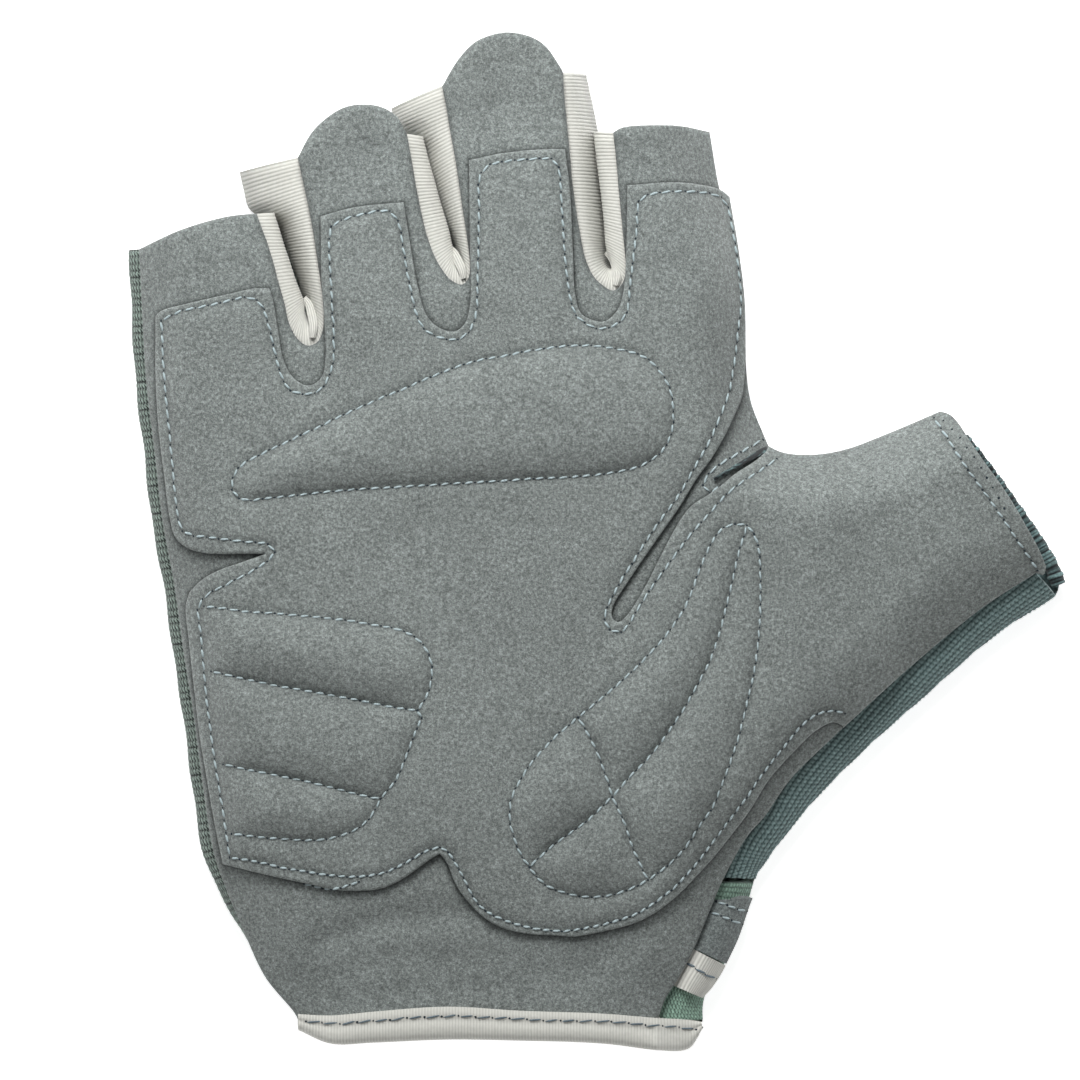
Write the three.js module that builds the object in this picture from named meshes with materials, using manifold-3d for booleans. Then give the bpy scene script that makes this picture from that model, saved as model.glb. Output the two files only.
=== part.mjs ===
// A fingerless weightlifting glove for the right hand, lying palm up. Millimetres, +Z up.
// X runs from the little-finger side to the thumb, Y from the wrist to the fingertips.
import * as THREE from "three";
import { mergeVertices } from "three/addons/utils/BufferGeometryUtils.js";
import Module from "manifold-3d";

const wasm = await Module();
wasm.setup();

// Sizes of the hand
const palmWidth = 99; // across the knuckles
const palmLength = 115.5; // from the wrist hem to the roots of the fingers
const fingerLength = 49.5; // from the finger roots to the hem of the middle finger
const thumbReach = 49.5; // how far the thumb stands out past the palm
const palmHeight = 16; // outer height over the middle of the palm
const fingerHeight = 13.5;
const thumbHeight = 14;
const wristHeight = 13;
const shoulder = 11; // width over which the palm rounds down to its side seams
const wrapSeam = 5; // height of the palm's edge where it folds round to the back
const stripSeam = 9.5; // height of the palm's edge where a strip joins it to the back

// Thickness of the materials
const suede = 1.1;
const knit = 1.2;
const tape = 1;
const foamRise = 2.8; // how far the overlay is raised over the middle of a pad
const foamRound = 6; // width over which a pad rises from its stitch line
const channel = 2.4; // width left free of foam along a stitch line
const clearance = 0.3;
const layerGap = 0.6; // between the base sheet and the overlay

// Form of the back and the strips
const backLift = 1; // how far the back's side seams lift off the surface
const backRound = 7; // width over which they lift
const sideBulge = 1.9; // how far the knit strip swells out past the palm
const stripBulge = 0.9;
const tapeBulge = 0.5;
const tabThickness = 1.4;
const bindingDepth = 5; // width of the folded binding on each face
const meshThickness = 1;

// Fineness of the facets
const facet = 6;
const outlineStep = 5;
const tapeStep = 2;
const samePlace = 0.05; // points closer than this are one point
const hair = 1e-6; // lengths that differ by less than this are the same
const curveSlack = 1.15; // how much longer a curved edge is taken to be than the line between its ends

// Every table below gives points as shares. x is a share of palmWidth up to 1, and past 1 a share of
// thumbReach. y is a share of palmLength up to 1, and past 1 a share of fingerLength.
function place([x, y]) {
  return new THREE.Vector2(
    x <= 1 ? x * palmWidth : palmWidth + (x - 1) * thumbReach,
    y <= 1 ? y * palmLength : palmLength + (y - 1) * fingerLength,
  );
}

// Edge of the palm on the little-finger side, from the hem of the little finger to the wrist.
// swell is the share of sideBulge that the knit strip stands out there.
const littleSide = [
  { x: -0.008, y: 1.303, swell: 1 },
  { x: 0.003, y: 0.943, swell: 1 },
  { x: 0.018, y: 0.834, swell: 1 },
  { x: 0.05, y: 0.651, swell: 1 },
  { x: 0.082, y: 0.469, swell: 1 },
  { x: 0.115, y: 0.271, swell: 0.8 },
  { x: 0.162, y: 0.164, swell: 0.1 },
  { x: 0.202, y: 0.09, swell: 0 },
  { x: 0.252, y: 0.037, swell: 0 },
  { x: 0.258, y: 0.024, swell: 0 },
];

// Edge on the index-finger side, from its hem down to the crotch of the thumb
const indexSide = [
  [0.943, 1.697],
  [0.962, 1.503],
  [0.99, 1.3],
  [1.003, 1.13],
  [1.007, 0.976],
  [1.023, 0.914],
  [1.083, 0.849],
];

// Upper edge of the thumb, from the crotch to its hem
const thumbTop = [
  [1.083, 0.849],
  [1.16, 0.837],
  [1.257, 0.837],
  [1.353, 0.846],
  [1.46, 0.863],
  [1.657, 0.899],
];

// Opening of the thumb: the hem of the suede and the edge of the mesh behind it
const thumbHem = [
  [1.657, 0.899],
  [1.71, 0.884],
  [1.757, 0.853],
  [1.843, 0.8],
  [1.937, 0.736],
  [2.007, 0.677],
];
const thumbMesh = [
  [1.68, 0.895],
  [1.783, 0.84],
  [1.863, 0.796],
  [1.927, 0.747],
  [1.983, 0.713],
  [2.033, 0.674],
  [2.055, 0.649],
];

// Lower edge of the thumb and palm, from the thumb's hem to the wrist. x and y are the edge of the suede,
// outX and outY the edge of what shows past it, on the back.
const lowerSide = [
  { x: 1.973, y: 0.67, outX: 2.043, outY: 0.634 },
  { x: 1.79, y: 0.616, outX: 1.85, outY: 0.583 },
  { x: 1.517, y: 0.519, outX: 1.587, outY: 0.486 },
  { x: 1.33, y: 0.446, outX: 1.413, outY: 0.419 },
  { x: 1.153, y: 0.371, outX: 1.247, outY: 0.347 },
  { x: 1.073, y: 0.321, outX: 1.153, outY: 0.304 },
  { x: 1.01, y: 0.29, outX: 1.08, outY: 0.26 },
  { x: 0.965, y: 0.229, outX: 1.037, outY: 0.226 },
  { x: 0.942, y: 0.181, outX: 1.003, outY: 0.176 },
  { x: 0.917, y: 0.13, outX: 0.978, outY: 0.124 },
  { x: 0.893, y: 0.091, outX: 0.952, outY: 0.083 },
  { x: 0.868, y: 0.057, outX: 0.937, outY: 0.053 },
  { x: 0.855, y: 0.024, outX: 0.932, outY: 0.024 },
];
const stripEnd = 7; // row of lowerSide where the terry strip ends and the wrist's knit begins
const wristKnitEnd = 11.1; // row where the knit stops above the binding
const stripGap = 0.05; // share of a row left free on each side of the place where two strips meet
const sideStripEnd = 7.9; // row of littleSide where the knit strip beside the palm ends

// Edge of the base sheet under the thumb's front, from the crotch to the lower edge
const hiddenEdge = [
  [1.083, 0.849],
  [1.1, 0.7],
  [1.33, 0.446],
];

// Binding of the wrist hem: y is its folded edge, depth the share of bindingDepth up to its sewn edge
const wristHem = [
  { x: 0.256, y: 0.006, depth: 0.72 },
  { x: 0.383, y: -0.003, depth: 1 },
  { x: 0.505, y: 0.001, depth: 1.1 },
  { x: 0.625, y: 0, depth: 0.95 },
  { x: 0.763, y: -0.004, depth: 1 },
  { x: 0.853, y: -0.013, depth: 1.06 },
  { x: 0.925, y: -0.01, depth: 0.9 },
];

// Mesh gusset that shows above the thumb's sheet at the crotch
const gussetEdge = [
  [[0.94, 0.779], [0.975, 0.806], [1.076, 0.85]],
  [[1.076, 0.85], [1.06, 0.86], [0.965, 0.817], [0.93, 0.79]],
];

// Tapes between the fingers. Each goes down the side of one finger, round the root and up the side of the
// next: x and y are its edge under the palm's sheet, footX and footY its edge on the back.
const fourchettes = [
  [
    { x: 0.188, y: 1.42, footX: 0.215, footY: 1.41 },
    { x: 0.207, y: 1.327, footX: 0.225, footY: 1.317 },
    { x: 0.225, y: 1.197, footX: 0.239, footY: 1.21 },
    { x: 0.24, y: 1.097, footX: 0.257, footY: 1.107 },
    { x: 0.25, y: 1.02, footX: 0.263, footY: 1.08 },
    { x: 0.273, y: 0.991, footX: 0.268, footY: 1.067 },
    { x: 0.298, y: 1.01, footX: 0.273, footY: 1.08 },
    { x: 0.3, y: 1.07, footX: 0.268, footY: 1.117 },
    { x: 0.292, y: 1.197, footX: 0.25, footY: 1.217 },
    { x: 0.28, y: 1.367, footX: 0.227, footY: 1.367 },
    { x: 0.267, y: 1.503, footX: 0.172, footY: 1.44 },
    { x: 0.257, y: 1.607, footX: 0.16, footY: 1.563 },
  ],
  [
    { x: 0.438, y: 1.687, footX: 0.455, footY: 1.677 },
    { x: 0.453, y: 1.52, footX: 0.474, footY: 1.52 },
    { x: 0.467, y: 1.387, footX: 0.49, footY: 1.4 },
    { x: 0.497, y: 1.233, footX: 0.507, footY: 1.3 },
    { x: 0.532, y: 1.187, footX: 0.514, footY: 1.26 },
    { x: 0.543, y: 1.25, footX: 0.52, footY: 1.29 },
    { x: 0.538, y: 1.35, footX: 0.506, footY: 1.383 },
    { x: 0.528, y: 1.487, footX: 0.487, footY: 1.517 },
    { x: 0.515, y: 1.657, footX: 0.449, footY: 1.7 },
    { x: 0.496, y: 1.843, footX: 0.413, footY: 1.777 },
  ],
  [
    { x: 0.7, y: 1.89, footX: 0.737, footY: 1.89 },
    { x: 0.705, y: 1.75, footX: 0.748, footY: 1.75 },
    { x: 0.713, y: 1.537, footX: 0.758, footY: 1.55 },
    { x: 0.725, y: 1.367, footX: 0.765, footY: 1.393 },
    { x: 0.745, y: 1.22, footX: 0.77, footY: 1.283 },
    { x: 0.78, y: 1.163, footX: 0.775, footY: 1.253 },
    { x: 0.803, y: 1.24, footX: 0.78, footY: 1.283 },
    { x: 0.795, y: 1.41, footX: 0.773, footY: 1.417 },
    { x: 0.787, y: 1.607, footX: 0.765, footY: 1.607 },
    { x: 0.782, y: 1.69, footX: 0.762, footY: 1.69 },
  ],
];

// Hems of the palm's finger fronts, between the tapes
const fingerHems = {
  little: [[-0.008, 1.303], [0.063, 1.367], [0.14, 1.41], [0.188, 1.42]],
  ring: [[0.257, 1.607], [0.28, 1.69], [0.338, 1.777], [0.398, 1.773], [0.438, 1.687]],
  middle: [[0.496, 1.843], [0.525, 1.937], [0.588, 2.02], [0.643, 2.01], [0.7, 1.89]],
  index: [[0.782, 1.69], [0.852, 1.715], [0.943, 1.697]],
};

// Cut edge of the overlay, a row of stretches that meet in corners
const overlayEdge = [
  [[0.02, 1.08], [0.07, 1.113], [0.14, 1.147], [0.21, 1.17]],
  [[0.21, 1.17], [0.225, 1.027], [0.25, 0.946], [0.275, 0.934], [0.3, 0.955], [0.303, 1.03], [0.295, 1.393]],
  [[0.295, 1.393], [0.352, 1.44], [0.433, 1.457]],
  [[0.433, 1.457], [0.458, 1.163], [0.485, 1.047], [0.518, 1.027], [0.543, 1.113], [0.542, 1.597]],
  [[0.542, 1.597], [0.597, 1.62], [0.702, 1.633]],
  [[0.702, 1.633], [0.713, 1.35], [0.728, 1.087], [0.76, 1.058], [0.79, 1.097], [0.803, 1.283],
    [0.803, 1.503]],
  [[0.803, 1.503], [0.895, 1.523], [0.974, 1.483]],
  [[0.974, 1.483], [0.99, 1.3], [1.003, 1.13], [1.003, 0.95]],
  [[1.003, 0.95], [0.932, 0.81], [0.85, 0.711], [0.782, 0.62], [0.79, 0.597], [0.833, 0.646], [0.905, 0.751],
    [0.978, 0.803]],
  [[0.978, 0.803], [1.083, 0.846]],
];
const scallopEdge = [
  [[1.33, 0.45], [1.237, 0.441], [1.167, 0.413], [1.083, 0.373], [0.978, 0.293], [0.887, 0.206],
    [0.763, 0.156], [0.638, 0.153], [0.54, 0.199], [0.493, 0.267]],
  [[0.493, 0.267], [0.423, 0.227], [0.358, 0.214], [0.273, 0.224], [0.14, 0.25]],
];
const notchEdge = [
  [[0.14, 0.25], [0.115, 0.371], [0.096, 0.469], [0.075, 0.6]],
  [[0.075, 0.6], [0.1, 0.657], [0.203, 0.695]],
  [[0.203, 0.695], [0.102, 0.697], [0.06, 0.717], [0.042, 0.8], [0.028, 0.943], [0.02, 1.08]],
];

// Stitch lines of the pads: each outline, then the lines that part it into cells
const knucklePad = [
  [[0.148, 0.796], [0.168, 0.824], [0.267, 0.864], [0.395, 0.916], [0.545, 0.967], [0.665, 0.987],
    [0.762, 0.99], [0.835, 0.974], [0.873, 0.936], [0.88, 0.871], [0.85, 0.831], [0.787, 0.811],
    [0.65, 0.801], [0.51, 0.794], [0.343, 0.786], [0.168, 0.771], [0.148, 0.796]],
];
const heelTop = [[0.102, 0.62], [0.25, 0.607], [0.385, 0.593], [0.458, 0.571], [0.48, 0.531], [0.457, 0.471]];
const heelMiddle = [[0.457, 0.471], [0.437, 0.403], [0.395, 0.346]];
const heelBottom = [[0.395, 0.346], [0.35, 0.3], [0.287, 0.287], [0.153, 0.296]];
const heelLeft = [
  [[0.153, 0.296], [0.133, 0.394]],
  [[0.133, 0.394], [0.113, 0.527]],
  [[0.113, 0.527], [0.102, 0.62]],
];
const heelLines = [
  [[0.113, 0.527], [0.288, 0.497], [0.457, 0.471]],
  [[0.133, 0.394], [0.25, 0.374], [0.395, 0.346]],
];
const thumbTip = [0.995, 0.734];
const veinCrossing = [0.785, 0.35];
const thumbPadEdge = {
  upperLeft: [thumbTip, [0.96, 0.73], [0.902, 0.62], [0.808, 0.523], [0.723, 0.461]],
  lowerLeft: [[0.723, 0.461], [0.647, 0.397], [0.612, 0.344], [0.613, 0.296], [0.642, 0.251]],
  bottom: [[0.642, 0.251], [0.69, 0.214], [0.757, 0.206], [0.838, 0.229]],
  right: [[0.838, 0.229], [0.907, 0.281], [0.948, 0.337], [0.987, 0.424], [1.033, 0.533], [1.053, 0.653],
    [1.033, 0.719], thumbTip],
};
const veins = {
  upper: [thumbTip, [0.978, 0.65], [0.948, 0.556], [0.883, 0.453], veinCrossing],
  lower: [veinCrossing, [0.71, 0.295], [0.642, 0.251]],
  crossUpper: [[0.723, 0.461], [0.767, 0.394], veinCrossing],
  crossLower: [veinCrossing, [0.812, 0.295], [0.838, 0.229]],
};

// Strap end beside the wrist: the stretch of lowerSide, in rows, that each of its pieces covers
const tabRows = { from: 7.6, to: 8.95 };
const tabBindingRows = { from: 9.05, to: 10.1 };
const tabInset = 0.2; // share of the knit's width that stays bare between the palm's edge and the strap end

// Materials
const colours = {
  suede: 0x7f8886,
  foam: 0xb9bcb8,
  terry: 0x5f7d7d,
  greenKnit: 0x5d7868,
  mesh: 0x2f4545,
  tape: 0xcdcac4,
};
function material(name) {
  return new THREE.MeshStandardMaterial({ color: colours[name], roughness: 0.92, metalness: 0 });
}

// Curves and outlines

function evenPoints(points, step = outlineStep) {
  const curve = new THREE.CatmullRomCurve3(
    points.map((point) => new THREE.Vector3(point.x, point.y, point.z ?? 0)),
    false,
    "centripetal",
  );
  if (points.length === 2) return [points[0], points[1]].map((point) => new THREE.Vector2(point.x, point.y));
  const count = Math.max(2, Math.round(curve.getLength() / step));
  return curve.getSpacedPoints(count).map((point) => new THREE.Vector2(point.x, point.y));
}

// One polygon from stretches that start where the one before ends
function trace(stretches) {
  const polygon = [];
  for (const stretch of stretches) {
    for (const point of evenPoints(stretch.map(place))) {
      const last = polygon[polygon.length - 1];
      if (!last || last.distanceTo(point) > samePlace) polygon.push(point);
    }
  }
  if (polygon[0].distanceTo(polygon[polygon.length - 1]) < samePlace) polygon.pop();
  return polygon;
}

const reversed = (points) => [...points].reverse();
const topEdge = (rows) => rows.map(({ x, y }) => [x, y]);
const footEdge = (rows) => rows.map(({ footX, footY }) => [footX, footY]);
const outEdge = (rows) => rows.map(({ outX, outY }) => [outX, outY]);

// Distance to the nearest side seam, positive inside, with the seam's height there

function seamSegments(rows) {
  const segments = [];
  for (let i = 1; i < rows.length; i++) segments.push([rows[i - 1], rows[i]]);
  return segments;
}

function seamPoints(points, height) {
  return points.map((point) => ({ ...place(point), height }));
}

function nearestSeam(segments, x, y) {
  let best = { distance: Infinity, across: 0, height: 0 };
  for (const [a, b] of segments) {
    const dx = b.x - a.x;
    const dy = b.y - a.y;
    const along = ((x - a.x) * dx + (y - a.y) * dy) / (dx * dx + dy * dy);
    const t = Math.min(1, Math.max(0, along));
    const distance = Math.hypot(x - a.x - t * dx, y - a.y - t * dy);
    const across = ((x - a.x) * dy - (y - a.y) * dx) / Math.hypot(dx, dy);
    const tie = Math.abs(distance - best.distance) < hair && Math.abs(across) > Math.abs(best.across);
    if (distance < best.distance - hair || tie) {
      best = { distance, across, height: a.height + t * (b.height - a.height) };
    }
  }
  return { distance: Math.sign(best.across) * best.distance, height: best.height };
}

// All seams run with the glove on their left, seen from above, so the signs agree
const palmSeams = [
  ...seamSegments(reversed(seamPoints(topEdge(littleSide), stripSeam))),
  ...seamSegments(seamPoints([...indexSide, ...thumbTop.slice(1)], wrapSeam)),
  ...seamSegments(seamPoints(topEdge(lowerSide), stripSeam)),
];
const backSeams = [
  ...seamSegments(reversed(seamPoints(topEdge(littleSide), 0))),
  ...seamSegments(seamPoints([...indexSide, ...thumbTop.slice(1)], 0)),
  ...seamSegments(seamPoints(outEdge(lowerSide), 0)),
];

// Heights of the faces

const ease = (t) => THREE.MathUtils.smoothstep(t, 0, 1);
const mix = THREE.MathUtils.lerp;
const roundOff = (share) => Math.sin((Math.PI / 2) * Math.min(1, Math.max(-1, share)));

function crown(x, y) {
  const hand = mix(wristHeight, palmHeight, ease(y / (0.4 * palmLength)));
  const fingers = mix(hand, fingerHeight, ease((y - palmLength) / fingerLength));
  return mix(fingers, thumbHeight, ease((x - palmWidth) / thumbReach));
}

function palmFace(x, y) {
  const { distance, height } = nearestSeam(palmSeams, x, y);
  return height + (crown(x, y) - height) * roundOff(distance / shoulder);
}

// A sheet's thickness and gaps are measured square to it, so on a slope they are taller
function slopeOf(face, x, y) {
  const step = 0.5;
  const rise = face(x + step, y) - face(x - step, y);
  const climb = face(x, y + step) - face(x, y - step);
  return Math.hypot(1, rise / (2 * step), climb / (2 * step));
}
const palmUnder = (x, y) => palmFace(x, y) - suede * slopeOf(palmFace, x, y);

function insidePolygon(polygon, x, y) {
  let inside = false;
  for (let i = 0, j = polygon.length - 1; i < polygon.length; j = i++) {
    const a = polygon[i];
    const b = polygon[j];
    if (a.y > y !== b.y > y && x < ((b.x - a.x) * (y - a.y)) / (b.y - a.y) + a.x) inside = !inside;
  }
  return inside;
}

const padLayouts = [
  { name: "knuckle_pad", edge: knucklePad, lines: [], cells: [knucklePad] },
  {
    name: "heel_pad",
    edge: [heelTop, heelMiddle, heelBottom, ...heelLeft],
    lines: heelLines,
    cells: [
      [heelTop, reversed(heelLines[0]), heelLeft[2]],
      [heelLines[0], heelMiddle, reversed(heelLines[1]), heelLeft[1]],
      [heelLines[1], heelBottom, heelLeft[0]],
    ],
  },
  {
    name: "thumb_pad",
    edge: Object.values(thumbPadEdge),
    lines: Object.values(veins),
    cells: [
      [thumbPadEdge.upperLeft, veins.crossUpper, reversed(veins.upper)],
      [thumbPadEdge.lowerLeft, reversed(veins.lower), reversed(veins.crossUpper)],
      [thumbPadEdge.bottom, reversed(veins.crossLower), veins.lower],
      [thumbPadEdge.right, veins.upper, veins.crossLower],
    ],
  },
];
for (const pad of padLayouts) {
  pad.outline = trace(pad.edge);
  pad.stitches = [...pad.edge, ...pad.lines].flatMap((stretch) => {
    const points = evenPoints(stretch.map(place)).map(({ x, y }) => ({ x, y, height: 0 }));
    return seamSegments(points);
  });
}

// How far a pad raises the overlay
function padRise(x, y) {
  for (const pad of padLayouts) {
    if (!insidePolygon(pad.outline, x, y)) continue;
    const { distance } = nearestSeam(pad.stitches, x, y);
    return foamRise * roundOff(Math.abs(distance) / foamRound);
  }
  return 0;
}

// Past the hidden edge of the base sheet the overlay comes down to the base sheet's own height
const hiddenSeam = seamSegments(seamPoints([...indexSide, ...hiddenEdge.slice(1)], 0));
function alone(x, y) {
  const { distance } = nearestSeam(hiddenSeam, x, y);
  return ease((-distance - Math.SQRT2 * facet) / facet);
}
function overlayUnder(x, y) {
  const slope = slopeOf(palmFace, x, y);
  return palmFace(x, y) + (layerGap - alone(x, y) * (layerGap + suede)) * slope + padRise(x, y);
}
const overlayFace = (x, y) => overlayUnder(x, y) + suede * slopeOf(palmFace, x, y);

// The back is flat where it rests, and lifts at its side seams and over the binding of the wrist
function backUnder(x, y) {
  const { distance } = nearestSeam(backSeams, x, y);
  const lift = backLift * (1 - roundOff(distance / backRound));
  const overBinding = (tape + clearance) * (1 - ease((y - bindingDepth - 1) / facet));
  return lift + overBinding;
}
const backFace = (x, y) => backUnder(x, y) + knit;

// The same heights as the facets have them
const faceted = (height) => (x, y) => {
  const i = Math.floor(x / facet);
  const j = Math.floor(y / facet);
  const s = x / facet - i;
  const t = y / facet - j;
  const corner = (a, b) => height((i + a) * facet, (j + b) * facet);
  if (s + t <= 1) return corner(0, 0) * (1 - s - t) + corner(1, 0) * s + corner(0, 1) * t;
  return corner(1, 1) * (s + t - 1) + corner(0, 1) * (1 - s) + corner(1, 0) * (1 - t);
};
const palmFacets = faceted(palmFace);
const palmUnderFacets = faceted(palmUnder);
const backFacets = faceted(backFace);

// Solids

function manifoldOf(positions, triangles) {
  return new wasm.Manifold(
    new wasm.Mesh({
      numProp: 3,
      vertProperties: new Float32Array(positions),
      triVerts: new Uint32Array(triangles),
    }),
  );
}

function solidOf(geometry) {
  geometry.deleteAttribute("normal");
  geometry.deleteAttribute("uv");
  const merged = mergeVertices(geometry, 1e-4);
  return manifoldOf(merged.attributes.position.array, merged.index.array);
}

function geometryOf(solid) {
  const mesh = solid.getMesh();
  const geometry = new THREE.BufferGeometry();
  geometry.setAttribute("position", new THREE.BufferAttribute(mesh.vertProperties, 3));
  geometry.setIndex(new THREE.BufferAttribute(mesh.triVerts, 1));
  geometry.computeVertexNormals();
  return geometry;
}

// A slab over the polygon's box, on the common grid, between two heights
function slab(polygon, under, over) {
  const box = new THREE.Box2().setFromPoints(polygon);
  const i0 = Math.floor(box.min.x / facet) - 1;
  const j0 = Math.floor(box.min.y / facet) - 1;
  const columns = Math.ceil(box.max.x / facet) + 2 - i0;
  const rows = Math.ceil(box.max.y / facet) + 2 - j0;
  const positions = [];
  for (const height of [under, over]) {
    for (let j = 0; j < rows; j++) {
      for (let i = 0; i < columns; i++) {
        const x = (i0 + i) * facet;
        const y = (j0 + j) * facet;
        positions.push(x, y, height(x, y));
      }
    }
  }
  const low = (i, j) => j * columns + i;
  const high = (i, j) => rows * columns + low(i, j);
  const triangles = [];
  for (let j = 0; j + 1 < rows; j++) {
    for (let i = 0; i + 1 < columns; i++) {
      triangles.push(high(i, j), high(i + 1, j), high(i, j + 1));
      triangles.push(high(i + 1, j), high(i + 1, j + 1), high(i, j + 1));
      triangles.push(low(i, j), low(i, j + 1), low(i + 1, j));
      triangles.push(low(i + 1, j), low(i, j + 1), low(i + 1, j + 1));
    }
  }
  const wall = (a, b) => triangles.push(low(...a), low(...b), high(...b), low(...a), high(...b), high(...a));
  for (let i = 0; i + 1 < columns; i++) {
    wall([i, 0], [i + 1, 0]);
    wall([i + 1, rows - 1], [i, rows - 1]);
  }
  for (let j = 0; j + 1 < rows; j++) {
    wall([0, j + 1], [0, j]);
    wall([columns - 1, j], [columns - 1, j + 1]);
  }
  return manifoldOf(positions, triangles);
}

// An upright prism over the polygon, taller than the glove
function prism(polygon) {
  const tall = 4 * palmHeight;
  const geometry = new THREE.ExtrudeGeometry(new THREE.Shape(polygon), { depth: tall, bevelEnabled: false });
  geometry.translate(0, 0, -tall / 2);
  return solidOf(geometry);
}

function sheet(polygon, under, over) {
  return slab(polygon, under, over).intersect(prism(polygon));
}

// A thick band: each row has points of its outer face and as many of its inner face
function band(rows) {
  const across = rows[0].outer.length;
  const positions = [];
  for (const side of ["outer", "inner"]) {
    for (const row of rows) for (const point of row[side]) positions.push(point.x, point.y, point.z);
  }
  const outer = (i, k) => i * across + k;
  const inner = (i, k) => rows.length * across + outer(i, k);
  const triangles = [];
  const quad = (a, b, c, d) => triangles.push(a, b, c, a, c, d);
  for (let i = 0; i + 1 < rows.length; i++) {
    for (let k = 0; k + 1 < across; k++) {
      quad(outer(i, k), outer(i + 1, k), outer(i + 1, k + 1), outer(i, k + 1));
      quad(inner(i, k), inner(i, k + 1), inner(i + 1, k + 1), inner(i + 1, k));
    }
    quad(outer(i, 0), inner(i, 0), inner(i + 1, 0), outer(i + 1, 0));
    const last = across - 1;
    quad(outer(i, last), outer(i + 1, last), inner(i + 1, last), inner(i, last));
  }
  for (let k = 0; k + 1 < across; k++) {
    const end = rows.length - 1;
    quad(outer(0, k), outer(0, k + 1), inner(0, k + 1), inner(0, k));
    quad(outer(end, k), inner(end, k), inner(end, k + 1), outer(end, k + 1));
  }
  const solid = manifoldOf(positions, triangles);
  return solid.volume() < 0 ? manifoldOf(positions, flipped(triangles)) : solid;
}

function flipped(triangles) {
  const turned = [];
  for (let i = 0; i < triangles.length; i += 3) turned.push(triangles[i], triangles[i + 2], triangles[i + 1]);
  return turned;
}

// One row of a band: a wall from its upper edge to its foot, swelling towards the side that it faces.
// It starts at a share of the way down, and is laid out over another wall.
function wallRow(top, foot, facing, swell, thickness, { start = 0, over = 0, parts = 4 } = {}) {
  const down = foot.clone().sub(top).normalize();
  const normal = facing.clone().addScaledVector(down, -facing.dot(down)).normalize();
  const outer = [];
  const inner = [];
  for (let k = 0; k <= parts; k++) {
    const share = mix(start, 1, k / parts);
    const rise = swell * Math.sin(Math.PI * share) + over;
    const point = top.clone().lerp(foot, share).addScaledVector(normal, rise);
    outer.push(point);
    inner.push(point.clone().addScaledVector(normal, -thickness));
  }
  return { outer, inner };
}

const up = new THREE.Vector3(0, 0, 1);
const raised = ({ x, y }, z) => new THREE.Vector3(x, y, z);

// Points at even steps along a table's edge, each with the table's other columns
function along(rows, columns, step, from = 0, to = rows.length - 1) {
  const curves = {};
  for (const [name, [first, second]] of Object.entries(columns)) {
    const points = rows.map((row) => {
      const { x, y } = place([row[first], row[second]]);
      return new THREE.Vector3(x, y, 0);
    });
    curves[name] = new THREE.CatmullRomCurve3(points, false, "centripetal");
  }
  const first = Object.values(curves)[0];
  const last = rows.length - 1;
  const start = first.getPoint(from / last);
  const end = first.getPoint(to / last);
  const count = Math.max(3, Math.round((start.distanceTo(end) * curveSlack) / step));
  const samples = [];
  for (let i = 0; i <= count; i++) {
    const t = (from + ((to - from) * i) / count) / last;
    const sample = { t: t * last };
    for (const [name, curve] of Object.entries(curves)) sample[name] = curve.getPoint(t);
    samples.push(sample);
  }
  return samples;
}

// Pieces

const palmOutline = trace([
  topEdge(reversed(littleSide)),
  fingerHems.little,
  topEdge(fourchettes[0]),
  fingerHems.ring,
  topEdge(fourchettes[1]),
  fingerHems.middle,
  topEdge(fourchettes[2]),
  fingerHems.index,
  indexSide,
  hiddenEdge,
  topEdge(lowerSide.slice(3)),
]);

const overlayOutline = trace([
  ...overlayEdge,
  thumbTop,
  thumbHem,
  [thumbHem.at(-1), topEdge(lowerSide)[0]],
  topEdge(lowerSide.slice(0, 4)),
  ...scallopEdge,
  ...notchEdge,
]);

const thumbSeam = [indexSide[indexSide.length - 1], [lowerSide[3].outX, lowerSide[3].outY]];
const backOutline = trace([
  topEdge(reversed(littleSide)),
  [topEdge(littleSide)[0], footEdge(fourchettes[0])[0]],
  footEdge(fourchettes[0]),
  [footEdge(fourchettes[0]).at(-1), footEdge(fourchettes[1])[0]],
  footEdge(fourchettes[1]),
  [footEdge(fourchettes[1]).at(-1), footEdge(fourchettes[2])[0]],
  footEdge(fourchettes[2]),
  [footEdge(fourchettes[2]).at(-1), indexSide[0]],
  indexSide,
  thumbSeam,
  outEdge(lowerSide.slice(3)),
]);
const thumbBackOutline = trace([
  thumbTop,
  [thumbTop.at(-1), thumbMesh[0]],
  thumbMesh,
  [thumbMesh.at(-1), outEdge(lowerSide)[0]],
  outEdge(lowerSide.slice(0, 4)),
  reversed(thumbSeam),
]);

function upright(polyline, width) {
  const tall = 4 * palmHeight;
  return polyline.slice(1).map((end, i) => {
    const start = polyline[i];
    const length = start.distanceTo(end) + width;
    const box = new THREE.BoxGeometry(length, width, tall);
    box.rotateZ(Math.atan2(end.y - start.y, end.x - start.x));
    box.translate((start.x + end.x) / 2, (start.y + end.y) / 2, 0);
    return solidOf(box);
  });
}

// The foam of one cell, clear of the stitch channels round it
function foamCell(cell) {
  const outline = trace(cell);
  const under = (x, y) => palmFace(x, y) + clearance * slopeOf(palmFace, x, y);
  const over = (x, y) => Math.max(under(x, y) + 0.1, overlayUnder(x, y) - clearance);
  let foam = sheet(outline, under, over);
  for (const stretch of cell) {
    for (const wall of upright(evenPoints(stretch.map(place)), 2 * channel)) foam = foam.subtract(wall);
  }
  return foam;
}

function fourchette(rows) {
  const samples = along(rows, { top: ["x", "y"], foot: ["footX", "footY"] }, tapeStep);
  return band(
    samples.map(({ top, foot }) => {
      const upper = raised(top, palmUnderFacets(top.x, top.y) - 2 * clearance);
      const lower = raised(foot, backFacets(foot.x, foot.y) + clearance + tape);
      return wallRow(upper, lower, up, -tapeBulge, tape);
    }),
  );
}

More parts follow.
